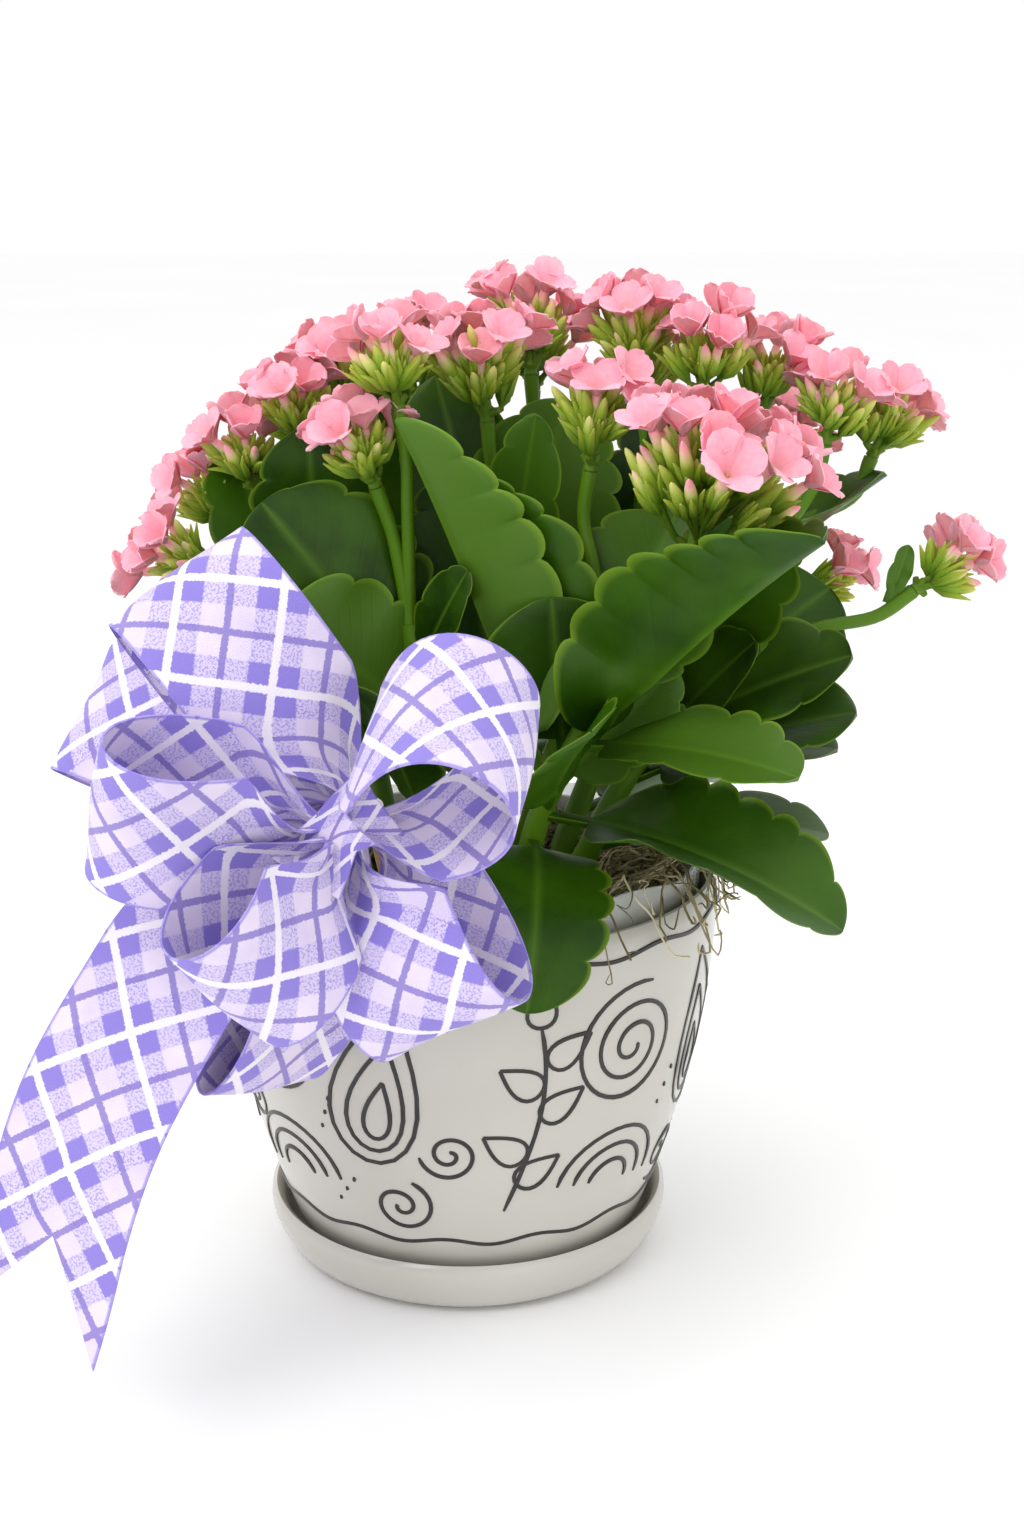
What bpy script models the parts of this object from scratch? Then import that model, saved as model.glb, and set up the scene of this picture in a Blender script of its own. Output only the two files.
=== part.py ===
"""A flowering kalanchoe in a glazed pot on its saucer, dressed with moss and a ribbon bow.

Lengths are in metres and +Z is up. The origin is the centre of the saucer's flat foot, -Y is
the front of the plant and +X its right-hand side. Leaves, flowers, buds and bow loops have one
generator each, and the lists below say where each one grows or hangs.
"""

import math
import random

import bpy
from mathutils import Vector
from mathutils.bvhtree import BVHTree

# Turned profiles, as (radius, height), up the outside and down the inside
TURNED_SIDES = 28
SAUCER_PROFILE = [
    (0.0, 0.0), (0.0504, 0.0), (0.0518, 0.0012), (0.0562, 0.0090), (0.0570, 0.0138), (0.0560, 0.0168),
    (0.0545, 0.0168), (0.0528, 0.0140), (0.0514, 0.0075), (0.0494, 0.0042), (0.0, 0.0040),
]
POT_PROFILE = [
    (0.0060, 0.0045), (0.0460, 0.0045), (0.0484, 0.0070), (0.0532, 0.0205), (0.0597, 0.0407),
    (0.0650, 0.0633), (0.0684, 0.0850), (0.0700, 0.1070), (0.0692, 0.1108), (0.0672, 0.1118),
    (0.0658, 0.1080), (0.0642, 0.0850), (0.0608, 0.0633), (0.0550, 0.0400), (0.0462, 0.0140),
    (0.0430, 0.0098), (0.0060, 0.0098),
]
SOFT_SIDES = 20
LINER_WALL = 0.0007
LINER_OUTSIDE = [
    (0.0420, 0.0102), (0.0448, 0.0140), (0.0538, 0.0400), (0.0596, 0.0633), (0.0630, 0.0850),
    (0.0644, 0.1070),
]
LINER_LIP = 0.1140
LIP_RIPPLE = 0.0030
SOIL_PROFILE = [
    (0.0, 0.0114), (0.0406, 0.0114), (0.0434, 0.0146), (0.0582, 0.0635), (0.0628, 0.0985), (0.0610, 0.1010),
    (0.0, 0.1010),
]
SOIL_TOP = 0.1010
STEM_FOOT = 0.0800
STEM_RADIUS = 0.0034
STALK_RADIUS = 0.0017
HOLE_SIDES = 6
HOLE_PLAY = 0.0005
SEAT_GAP = 0.0003
CLEARANCE = 0.0005

# Moss ring on the soil, and the strands that spill over the rim
MOSS_INNER, MOSS_OUTER, MOSS_HEIGHT = 0.0400, 0.0615, 0.0075
MOSS_SECTION = [(0.0, 0.0), (1.0, 0.0), (0.96, 0.55), (0.62, 1.0), (0.22, 0.8)]
MOSS_STRANDS = 9
STRAND_RADIUS = 0.0009
STRAND_FIRST, STRAND_STEP = -66.0, 9.5

# Stems: place in the soil, a point half-way up, and the fork where the flower stalks start
STEMS = {
    "front": ((0.014, -0.026), (0.019, -0.035, 0.135), (0.036, -0.047, 0.174)),
    "right": ((0.028, -0.010), (0.040, -0.018, 0.135), (0.060, -0.028, 0.170)),
    "right_back": ((0.026, 0.014), (0.038, 0.020, 0.135), (0.064, 0.022, 0.180)),
    "middle": ((0.000, -0.004), (0.006, -0.006, 0.140), (0.012, -0.008, 0.195)),
    "crown": ((0.012, 0.008), (0.024, 0.002, 0.140), (0.046, 0.002, 0.195)),
    "left_front": ((-0.014, -0.020), (-0.010, -0.026, 0.135), (-0.014, -0.028, 0.184)),
    "left": ((-0.028, -0.004), (-0.034, -0.008, 0.135), (-0.042, -0.008, 0.184)),
    "left_back": ((-0.020, 0.018), (-0.026, 0.026, 0.135), (-0.030, 0.036, 0.186)),
    "back": ((0.004, 0.026), (0.010, 0.036, 0.135), (0.022, 0.044, 0.190)),
}

# Flower heads: stem, end of the stalk, middle of the flowers, half width, open flowers, buds
HEADS = [
    ("front", (0.053, -0.060, 0.207), (0.061, -0.062, 0.237), 0.0245, 7, 11),
    ("front", (0.031, -0.036, 0.224), (0.034, -0.036, 0.247), 0.0125, 3, 7),
    ("left_front", (-0.016, -0.030, 0.238), (-0.019, -0.030, 0.258), 0.0110, 2, 8),
    ("left_front", (-0.022, -0.029, 0.219), (-0.028, -0.030, 0.237), 0.0110, 2, 5),
    ("middle", (0.006, -0.012, 0.233), (0.004, -0.011, 0.256), 0.0150, 4, 9),
    ("middle", (0.018, 0.016, 0.242), (0.017, 0.018, 0.265), 0.0135, 4, 6),
    ("crown", (0.046, 0.007, 0.240), (0.044, 0.007, 0.261), 0.0125, 3, 9),
    ("crown", (0.062, -0.004, 0.238), (0.063, -0.004, 0.259), 0.0130, 4, 7),
    ("crown", (0.079, 0.010, 0.232), (0.082, 0.011, 0.252), 0.0110, 3, 6),
    ("right", (0.094, -0.004, 0.226), (0.098, -0.004, 0.244), 0.0120, 3, 8),
    ("right", (0.115, -0.024, 0.191), (0.131, -0.020, 0.201), 0.0105, 3, 6),
    ("right_back", (0.110, 0.014, 0.220), (0.118, 0.016, 0.237), 0.0120, 3, 7),
    ("right_back", (0.094, 0.027, 0.178), (0.109, 0.030, 0.188), 0.0095, 2, 4),
    ("left", (-0.042, -0.002, 0.226), (-0.045, -0.002, 0.244), 0.0110, 3, 6),
    ("left", (-0.032, 0.010, 0.232), (-0.035, 0.011, 0.251), 0.0110, 3, 5),
    ("left", (-0.054, -0.004, 0.214), (-0.060, -0.005, 0.232), 0.0100, 2, 5),
    ("left", (-0.064, -0.012, 0.193), (-0.081, -0.014, 0.203), 0.0115, 3, 7),
    ("left", (-0.062, 0.004, 0.204), (-0.074, 0.004, 0.217), 0.0090, 2, 4),
    ("left_back", (-0.042, 0.036, 0.220), (-0.048, 0.041, 0.238), 0.0140, 4, 7),
    ("left_back", (-0.014, 0.044, 0.232), (-0.016, 0.049, 0.252), 0.0140, 4, 7),
    ("back", (0.020, 0.052, 0.234), (0.021, 0.057, 0.254), 0.0140, 4, 7),
    ("back", (0.050, 0.042, 0.230), (0.053, 0.046, 0.250), 0.0140, 4, 7),
    ("right_back", (0.084, 0.038, 0.212), (0.091, 0.043, 0.229), 0.0130, 3, 6),
]
FLORET_RADIUS = 0.0082
NOTCH_RADIUS = 0.0042
LOBE_HALF_ANGLE = 28
THROAT_DEPTH = 0.0060
THROAT_RADIUS = 0.0016
HEART_DEPTH = 0.0012
BUD_RADIUS = 0.0022
BUD_WAIST = 0.62
# Core of a head: radius of its foot, then (share of the height, share of the half width) up it
HEAD_FOOT = 0.0022
HEAD_RINGS = [(0.30, 0.30), (0.52, 0.40), (0.70, 0.22)]
CORE_SIDES = 6
TOP_FACE = (3, 0)
HEAD_PLANS = 90

# Leaves: stem, height on it, tip, width, way the upper face looks, fold in degrees, arch
LEAF_ROWS = 6
LEAF_STALK = 0.16
LEAF_EDGE = 0.0009
STALK_HALF = 0.0020
SCALLOP_OUT, SCALLOP_IN = 0.08, 0.06
FREE_ROW = 3
# The first leaves of the list are placed before the flower heads, and the last ones after all others
FIRST_LEAVES, LAST_LEAVES = 3, 4
LEAVES = [
    ("front", 0.150, (0.079, -0.092, 0.218), 0.054, (-0.58, 0.53, 0.62), 55, 0.06),
    ("left_front", 0.130, (-0.026, -0.068, 0.177), 0.022, (0.00, -0.30, 0.95), 14, 0.08),
    ("left_front", 0.158, (-0.044, -0.048, 0.188), 0.042, (0.20, -0.85, 0.50), 10, 0.06),
    ("front", 0.128, (0.014, -0.090, 0.103), 0.036, (0.15, -0.50, 0.85), 12, 0.36),
    ("front", 0.136, (0.093, -0.066, 0.114), 0.046, (0.45, -0.35, 0.80), 28, 0.14),
    ("front", 0.156, (0.078, -0.080, 0.158), 0.034, (0.05, -0.30, 0.95), 15, 0.10),
    ("front", 0.150, (0.021, -0.050, 0.195), 0.038, (0.00, -0.95, 0.30), 10, 0.05),
    ("front", 0.166, (0.051, -0.036, 0.213), 0.042, (-0.20, -0.90, 0.30), 12, 0.05),
    ("front", 0.162, (0.009, -0.044, 0.229), 0.036, (0.60, 0.35, 0.50), 45, 0.05),
    ("front", 0.142, (-0.017, -0.052, 0.239), 0.044, (0.75, 0.45, 0.45), 45, 0.04),
    ("right", 0.152, (0.096, -0.045, 0.179), 0.036, (0.00, -0.50, 0.85), 15, 0.08),
    ("right", 0.162, (0.094, -0.015, 0.190), 0.040, (0.10, -0.70, 0.65), 12, 0.06),
    ("right", 0.140, (0.092, -0.040, 0.156), 0.042, (0.00, -0.30, 0.95), 12, 0.08),
    ("right", 0.168, (0.078, -0.036, 0.216), 0.032, (-0.30, -0.80, 0.50), 15, 0.04),
    ("right", 0.146, (0.076, -0.052, 0.184), 0.026, (-0.20, -0.60, 0.75), 15, 0.05),
    ("right_back", 0.132, (0.099, -0.014, 0.146), 0.032, (0.00, -0.20, 0.98), 12, 0.08),
    ("right_back", 0.166, (0.112, 0.005, 0.217), 0.034, (-0.60, 0.00, 0.80), 25, 0.04),
    ("middle", 0.160, (0.026, -0.008, 0.238), 0.042, (0.00, -1.00, 0.10), 8, 0.04),
    ("middle", 0.170, (0.014, -0.040, 0.238), 0.020, (0.00, -0.70, 0.70), 12, 0.04),
    ("middle", 0.158, (-0.001, -0.020, 0.224), 0.036, (0.00, -1.00, 0.10), 8, 0.04),
    ("front", 0.138, (0.029, -0.086, 0.171), 0.034, (-0.30, -0.45, 0.85), 14, 0.06),
    ("left_front", 0.162, (-0.050, -0.034, 0.216), 0.050, (0.30, -0.85, 0.45), 10, 0.06),
    ("left_front", 0.170, (0.002, -0.046, 0.199), 0.016, (0.00, -0.70, 0.70), 14, 0.05),
    ("left", 0.165, (-0.039, -0.020, 0.233), 0.034, (0.20, -0.95, 0.20), 10, 0.05),
    ("left", 0.140, (-0.081, -0.008, 0.186), 0.038, (0.00, -0.50, 0.85), 12, 0.08),
    ("left", 0.172, (-0.064, 0.008, 0.222), 0.028, (0.00, -0.60, 0.80), 12, 0.06),
    ("left_back", 0.172, (-0.020, 0.030, 0.236), 0.034, (0.00, -1.00, 0.10), 8, 0.04),
    ("middle", 0.178, (-0.014, 0.004, 0.236), 0.030, (0.00, -1.00, 0.10), 8, 0.04),
    ("crown", 0.182, (0.064, 0.014, 0.234), 0.034, (0.00, -1.00, 0.10), 8, 0.04),
    ("front", 0.142, (0.052, -0.044, 0.176), 0.024, (0.00, -0.90, 0.40), 10, 0.04),
]

# Small leaves on flower stalks: stem, root, tip, width
BRACTS = [
    ("right", (0.1085, -0.0255, 0.1880), (0.1130, -0.0250, 0.2030), 0.0060),
]

# Leaves by rule: four levels of opposite pairs, longer and flatter towards the rim
FILL_LEVELS = (0.120, 0.136, 0.152, 0.168)
FILL_LENGTHS = (0.066, 0.070, 0.066, 0.058)
FILL_RISES = (4.0, 24.0, 42.0, 58.0)
FILL_WIDTH = 0.66
FILL_FOLD, FILL_ARCH = 14.0, 0.12
HAND_REACH, FILL_REACH = 0.014, 0.022
FILL_STEMS = ("right", "right_back", "crown", "left", "left_back", "back")

# Bow of wide ribbon, tied in the middle and held in front of the rim on a pick
RIBBON_WIDTH = 0.038
RIBBON_BODY = 0.0008
BOW_CENTRE = Vector((-0.0260, -0.0900, 0.1515))
BOW_AXIS = Vector((-0.20, -0.97, 0.12)).normalized()
TIE_RADIUS = 0.0042
TIE_LENGTH = 0.0250
PICK_RADIUS = 0.0013
PICK_END = 0.0020
PICK_FOOT = Vector((-0.0180, -0.0460, 0.0800))
PICK_KNEE = Vector((-0.0200, -0.0535, 0.1220))
# Loops: way out, way across the ribbon, length, depth, place along the tie, start off its axis
LOOPS = {
    "upper_left": ((-0.60, 0.14, 0.78), (0.90, 0.24, 0.20), 0.067, 0.024, -0.60, 0.0046),
    "small_left": ((-0.879, 0.425, 0.218), (0.144, -0.566, -0.812), 0.0790, 0.0160, -1.14, 0.0039),
    "middle_left": ((-0.970, -0.190, 0.157), (0.267, -0.380, 0.885), 0.0514, 0.0220, 0.68, 0.0059),
    "upper_right": ((0.654, -0.476, 0.588), (0.360, 0.651, 0.669), 0.0500, 0.0340, 0.75, 0.0054),
    "lower_front": ((-0.52, -0.50, -0.66), (0.38, 0.36, -0.82), 0.0440, 0.0220, 0.98, 0.0041),
    "lower_right": ((0.44, -0.28, -0.86), (0.76, -0.24, 0.60), 0.050, 0.028, 0.03, 0.0046),
    "bottom": ((-0.366, -0.009, -0.931), (0.642, 0.748, -0.168), 0.0716, 0.0143, -0.68, 0.0044),
}
# The last loop runs on into the tail, as one piece
TAIL_LOOP = "bottom"
LOOP_STATIONS = 13
LOOP_START = 0.30
ROOT_PINCH = 0.16
ROOT_TURN = 0.75
OPEN_BY = 0.36
LOOP_SWELL = 0.65
TAIL_PATH = [
    (-0.0327, -0.0839, 0.1446), (-0.0450, -0.0817, 0.1405), (-0.0584, -0.0845, 0.1293),
    (-0.0717, -0.0942, 0.1122), (-0.0840, -0.1040, 0.0920), (-0.0930, -0.1110, 0.0700),
    (-0.1000, -0.1150, 0.0460),
]
TAIL_ACROSS = ((0.30, -0.30, 0.90), (0.80, -0.42, -0.42))
TAIL_STATIONS = 13
TAIL_POINT = 0.0130

placed = []


def clear_scene():
    for old in list(bpy.data.objects):
        bpy.data.objects.remove(old, do_unlink=True)


def material(name, colour, roughness, alpha=1.0):
    made = bpy.data.materials.new(name)
    made.use_nodes = True
    shader = made.node_tree.nodes["Principled BSDF"]
    shader.inputs["Base Color"].default_value = (*colour, 1.0)
    shader.inputs["Roughness"].default_value = roughness
    shader.inputs["Metallic"].default_value = 0.0
    shader.inputs["Alpha"].default_value = alpha
    return made


def mesh_object(name, piece, finish, home=None):
    points, faces = piece
    mesh = bpy.data.meshes.new(name)
    mesh.from_pydata([tuple(p) for p in points], [], faces)
    mesh.shade_smooth()
    mesh.set_sharp_from_angle(angle=math.radians(40))
    mesh.materials.append(finish)
    made = bpy.data.objects.new(name, mesh)
    (home or bpy.context.scene.collection).objects.link(made)
    return made


def apply_boolean(body, operation, home):
    """Joins or cuts body with everything in a collection, then removes the collection."""
    modifier = body.modifiers.new(operation.title(), "BOOLEAN")
    modifier.operation = operation
    modifier.operand_type = "COLLECTION"
    modifier.collection = home
    modifier.solver = "EXACT"
    graph = bpy.context.evaluated_depsgraph_get()
    result = bpy.data.meshes.new_from_object(body.evaluated_get(graph))
    body.modifiers.clear()
    body.data = result
    for old in list(home.objects):
        bpy.data.objects.remove(old, do_unlink=True)
    bpy.data.collections.remove(home)


def combined(name, pieces, finish, operation="UNION"):
    """One object from its first piece and the rest, joined to it or cut from it."""
    body = mesh_object(name, pieces[0], finish)
    home = bpy.data.collections.new(name + "_pieces")
    bpy.context.scene.collection.children.link(home)
    for number, piece in enumerate(pieces[1:]):
        mesh_object(f"{name}_{number}", piece, finish, home)
    apply_boolean(body, operation, home)
    return body


def turned(profile, sides, lift=None):
    """A profile turned about Z. Points at radius 0 are poles, and lift raises a point by its angle."""
    points, rings = [], []
    for radius, height in profile:
        if radius == 0.0:
            rings.append([len(points)] * sides)
            points.append(Vector((0.0, 0.0, height)))
            continue
        rings.append(list(range(len(points), len(points) + sides)))
        for k in range(sides):
            angle = 2.0 * math.pi * k / sides
            raised = height + (lift(height, angle) if lift else 0.0)
            points.append(Vector((radius * math.cos(angle), radius * math.sin(angle), raised)))
    faces = []
    closed = profile[0][0] != 0.0
    for low, high in zip(rings, rings[1:] + (rings[:1] if closed else [])):
        for k in range(sides):
            corners = [low[k], low[(k + 1) % sides], high[(k + 1) % sides], high[k]]
            faces.append(tuple(dict.fromkeys(corners)))
    return points, faces


def smooth_path(knots, count):
    """Points spaced evenly in parameter along a Catmull-Rom curve through the knots."""
    knots = [Vector(k) for k in knots]
    ends = [knots[0] * 2.0 - knots[1]] + knots + [knots[-1] * 2.0 - knots[-2]]
    found = []
    for i in range(count):
        place = i / (count - 1) * (len(knots) - 1)
        first = min(int(place), len(knots) - 2)
        t = place - first
        a, b, c, d = ends[first:first + 4]
        found.append(0.5 * (2.0 * b + (c - a) * t + (2.0 * a - 5.0 * b + 4.0 * c - d) * t * t
                            + (3.0 * b - a - 3.0 * c + d) * t ** 3))
    return found


def tube(path, radii, sides):
    """A closed round bar along a path, with a flat cap at each end."""
    points, faces, side = [], [], None
    for i, centre in enumerate(path):
        ahead = (path[min(i + 1, len(path) - 1)] - path[max(i - 1, 0)]).normalized()
        side = side or ahead.orthogonal()
        side = (side - ahead * side.dot(ahead)).normalized()
        other = ahead.cross(side)
        for k in range(sides):
            angle = 2.0 * math.pi * k / sides
            points.append(centre + (side * math.cos(angle) + other * math.sin(angle)) * radii[i])
    for i in range(len(path) - 1):
        for k in range(sides):
            a, b = i * sides + k, i * sides + (k + 1) % sides
            faces.append((a, b, b + sides, a + sides))
    faces.append(tuple(reversed(range(sides))))
    faces.append(tuple(range((len(path) - 1) * sides, len(path) * sides)))
    return points, faces


def skin(rows, across):
    """Closes a ribbon or leaf: each row holds its upper points and then its lower points.

    Both faces are split into triangles along the same diagonals, so that a waved blade keeps
    its thickness.
    """
    points = [p for row in rows for p in row]
    step = 2 * across
    faces = []
    for i in range(len(rows) - 1):
        here, ahead = i * step, (i + 1) * step
        for k in range(across - 1):
            a, b, c, d = here + k, here + k + 1, ahead + k + 1, ahead + k
            split = ((a, b, c), (a, c, d)) if 2 * k >= across - 1 else ((a, b, d), (b, c, d))
            faces += split
            faces += [tuple(across + n for n in reversed(tri)) for tri in split]
        left, right = (here, ahead), (here + across - 1, ahead + across - 1)
        faces += [(right[0], right[0] + across, right[1] + across), (right[0], right[1] + across, right[1])]
        faces += [(left[1], left[1] + across, left[0] + across), (left[1], left[0] + across, left[0])]
    last = (len(rows) - 1) * step
    for k in range(across - 1):
        faces.append((k + 1, k, k + across, k + 1 + across))
        faces.append((last + k, last + k + 1, last + k + 1 + across, last + k + across))
    return points, faces


def blade_half(u, width):
    """Half width of a blade at a share u of its length: widest past the middle, blunt at the tip."""
    return 0.5 * width * math.sqrt(max(0.0, 1.0 - abs(2.0 * u ** 0.9 - 1.0) ** 2.3))


def leaf(root, tip, width, face, fold, arch, grow=0.0, blade_only=False):
    """A leaf with a short stalk and a scalloped blade, folded up along its midrib."""
    span = tip - root
    upward = (face - span * face.dot(span) / span.length_squared).normalized()
    bend = root + span * 0.5 + upward * arch * span.length
    shares = [0.0] + [LEAF_STALK + (1.0 - LEAF_STALK) * i / LEAF_ROWS for i in range(LEAF_ROWS + 1)]
    rows = []
    for i, t in enumerate(shares):
        if blade_only and i < FREE_ROW:
            continue
        centre = root * (1.0 - t) ** 2 + bend * 2.0 * t * (1.0 - t) + tip * t * t
        ahead = ((bend - root) * (1.0 - t) + (tip - bend) * t).normalized()
        normal = (upward - ahead * upward.dot(ahead)).normalized()
        side = ahead.cross(normal)
        u = max(0.0, (t - LEAF_STALK) / (1.0 - LEAF_STALK))
        scallop = 1.0 + (SCALLOP_OUT if i % 2 else -SCALLOP_IN) * (0.0 < u < 0.99)
        half = max(blade_half(min(u, 0.985), width) * scallop, STALK_HALF) + grow
        slope = math.radians(fold) * min(1.0, u * 4.0)
        thick = (LEAF_EDGE if u > 0.1 else LEAF_EDGE * 2.4) / math.cos(slope) + 2.0 * grow
        rise = normal * half * math.sin(slope)
        reach = side * half * math.cos(slope)
        top = [centre - reach + rise, centre, centre + reach + rise]
        top = [p + normal * grow for p in top]
        rows.append(top + [p - normal * thick for p in top])
    return skin(rows, 3)


def petal_rim(centre, side, other, turn, size, grow=0.0):
    """The outline of four petals: a notch and two lobe corners for each."""
    rim = []
    for k in range(4):
        for offset, radius in ((-45, NOTCH_RADIUS), (-LOBE_HALF_ANGLE, FLORET_RADIUS),
                               (LOBE_HALF_ANGLE, FLORET_RADIUS)):
            angle = turn + math.pi / 2 * k + math.radians(offset)
            rim.append(centre + (side * math.cos(angle) + other * math.sin(angle)) * (radius * size + grow))
    return rim


def flower_room(root, centre, facing, turn, size):
    """The room that an open flower needs: its petals and their tube, a little oversize."""
    side = facing.orthogonal().normalized()
    other = facing.cross(side)
    points = petal_rim(centre + facing * CLEARANCE, side, other, turn, size, CLEARANCE)
    points += [centre - facing * HEART_DEPTH, root]
    faces = []
    for k in range(12):
        faces += [(k, (k + 1) % 12, 12), ((k + 1) % 12, k, 13)]
    return points, faces


def bud_room(root, tip):
    """The room that a closed bud needs."""
    path = [root, root.lerp(tip, BUD_WAIST), tip]
    return tube(path, [BUD_RADIUS * 0.4 + CLEARANCE, BUD_RADIUS + CLEARANCE, CLEARANCE], 4)


def clashes(piece, owner):
    tree = BVHTree.FromPolygons(*piece)
    return any(who != owner and tree.overlap(other) for who, other in placed)


def remember(piece, owner):
    placed.append((owner, BVHTree.FromPolygons(*piece)))


def make_turned_parts():
    white = material("white_glaze", (0.86, 0.86, 0.83), 0.25)
    mesh_object("saucer", turned(SAUCER_PROFILE, TURNED_SIDES), white)
    pot = turned(POT_PROFILE, TURNED_SIDES)
    mesh_object("pot", pot, white)
    remember(pot, "pot")


def lip_lift(height, angle):
    """Ripples of the liner's lip, tallest at the right of the front."""
    if height < LINER_LIP - 0.0001:
        return 0.0
    swell = 0.5 + 0.5 * math.cos(angle + math.radians(25))
    return LIP_RIPPLE * swell * (1.0 + 0.6 * math.cos(7.0 * angle))


def make_liner():
    lip = (LINER_OUTSIDE[-1][0], LINER_LIP)
    inside = [(radius - LINER_WALL, height) for radius, height in [lip] + LINER_OUTSIDE[:0:-1]]
    foot_radius, foot = LINER_OUTSIDE[0]
    floor = [(foot_radius - LINER_WALL * 0.5, foot + LINER_WALL), (0.0, foot + LINER_WALL)]
    liner = turned([(0.0, foot)] + LINER_OUTSIDE + [lip] + inside + floor, SOFT_SIDES, lip_lift)
    mesh_object("liner", liner, material("clear_film", (0.90, 0.92, 0.90), 0.15, 0.35))
    remember(liner, "liner")


def pick_path():
    """From its foot in the soil up to the back of the bow's tie, which it meets end on."""
    end = BOW_CENTRE - BOW_AXIS * (TIE_LENGTH * 0.5 + SEAT_GAP)
    return [PICK_FOOT, PICK_KNEE, end - BOW_AXIS * PICK_END, end]


def pick_hole():
    """The cutter for the pick's hole in the soil and the moss."""
    path = pick_path()
    below = path[0] - (path[1] - path[0]).normalized() * SEAT_GAP
    return tube([below, path[1]], [PICK_RADIUS + HOLE_PLAY] * 2, HOLE_SIDES)


def make_soil():
    cutters = [pick_hole()]
    for spot, _, _ in STEMS.values():
        hole = [Vector((*spot, STEM_FOOT - SEAT_GAP)), Vector((*spot, SOIL_TOP + MOSS_HEIGHT))]
        cutters.append(tube(hole, [STEM_RADIUS + HOLE_PLAY] * 2, HOLE_SIDES))
    soil = turned(SOIL_PROFILE, SOFT_SIDES)
    combined("soil", [soil] + cutters, material("potting_soil", (0.09, 0.06, 0.04), 0.95), "DIFFERENCE")
    remember(soil, "soil")


def moss_ring():
    """A low lumpy ring whose flat foot lies just above the soil."""
    rng = random.Random(5)
    points, faces, count = [], [], len(MOSS_SECTION)
    for k in range(SOFT_SIDES):
        angle = 2.0 * math.pi * k / SOFT_SIDES
        for across, up in MOSS_SECTION:
            radius = MOSS_INNER + (MOSS_OUTER - MOSS_INNER) * across
            height = SOIL_TOP + SEAT_GAP + MOSS_HEIGHT * up * rng.uniform(0.75, 1.25)
            points.append(Vector((radius * math.cos(angle), radius * math.sin(angle), height)))
    for k in range(SOFT_SIDES):
        for j in range(count):
            a, b = k * count + j, k * count + (j + 1) % count
            after = (k + 1) % SOFT_SIDES * count
            faces.append((a, after + j, after + (j + 1) % count, b))
    return points, faces


def moss_strand(rng, angle):
    """A strand that arches out of the ring, over the lip and the rim, and hangs outside."""
    out = Vector((math.cos(angle), math.sin(angle), 0.0))
    along = Vector((-math.sin(angle), math.cos(angle), 0.0)) * rng.uniform(-0.012, 0.012)
    drop = rng.uniform(0.100, 0.112)
    knots = [out * 0.054 + Vector((0, 0, 0.1045)), out * 0.0600 + along * 0.3 + Vector((0, 0, 0.1190)),
             out * 0.0680 + along * 0.7 + Vector((0, 0, 0.1215)), out * 0.0760 + along + Vector((0, 0, drop))]
    return tube(smooth_path(knots, 7), [STRAND_RADIUS] * 7, 3)


def make_moss():
    rng = random.Random(11)
    pieces = [moss_ring()]
    for k in range(MOSS_STRANDS):
        pieces.append(moss_strand(rng, math.radians(STRAND_FIRST + STRAND_STEP * k)))
    moss = combined("moss", pieces, material("dry_moss", (0.42, 0.36, 0.27), 0.95))
    home = bpy.data.collections.new("moss_holes")
    bpy.context.scene.collection.children.link(home)
    mesh_object("pick_hole", pick_hole(), moss.data.materials[0], home)
    apply_boolean(moss, "DIFFERENCE", home)
    for piece in pieces:
        remember(piece, "moss")


def ribbon(stations, end_notch=0.0):
    """A closed strip from stations of centre, way across, half width and outward normal."""
    rows = []
    for i, (centre, across, half, normal) in enumerate(stations):
        edges = [centre - across * half, centre + across * half]
        if end_notch:
            edges.insert(1, centre)
        if end_notch and i == len(stations) - 1:
            ahead = (centre - stations[i - 1][0]).normalized()
            edges = [edges[0] + ahead * end_notch, edges[1] - ahead * end_notch, edges[2] + ahead * end_notch]
        upper = [p + normal * RIBBON_BODY * 0.5 for p in edges]
        rows.append(upper + [p - normal * RIBBON_BODY * 0.5 for p in edges])
    return skin(rows, len(rows[0]) // 2)


def loop_stations(way, across, length, depth, along_tie, off, count):
    """One bow loop: out from the tie and back, gathered narrow and turned edge on at its root."""
    way = Vector(way).normalized()
    wide = Vector(across)
    wide = (wide - way * wide.dot(way)).normalized()
    pinched = BOW_AXIS * math.copysign(ROOT_TURN, BOW_AXIS.dot(wide)) + wide * (1.0 - ROOT_TURN)
    pinched = (pinched - way * pinched.dot(way)).normalized()
    start = BOW_CENTRE + BOW_AXIS * along_tie * TIE_LENGTH * 0.5 + way * off
    stations = []
    for i in range(count):
        angle = LOOP_START + (2.0 * math.pi - 2.0 * LOOP_START) * i / (count - 1)
        out = length * (math.cos(LOOP_START) - math.cos(angle)) / 2.0
        up = depth * LOOP_SWELL * math.sin(angle) * math.sin(angle / 2.0)
        opened = min(1.0, out / (OPEN_BY * length))
        across = pinched.slerp(wide, opened)
        centre = start + way * out + across.cross(way) * up
        d_out = length * math.sin(angle) / 2.0
        d_up = depth * LOOP_SWELL * (math.cos(angle) * math.sin(angle / 2.0)
                                     + 0.5 * math.sin(angle) * math.cos(angle / 2.0))
        ahead = (way * d_out + across.cross(way) * d_up).normalized()
        spread = ROOT_PINCH + (1.0 - ROOT_PINCH) * opened
        stations.append((centre, across, RIBBON_WIDTH * 0.5 * spread, across.cross(ahead)))
    return stations


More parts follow.
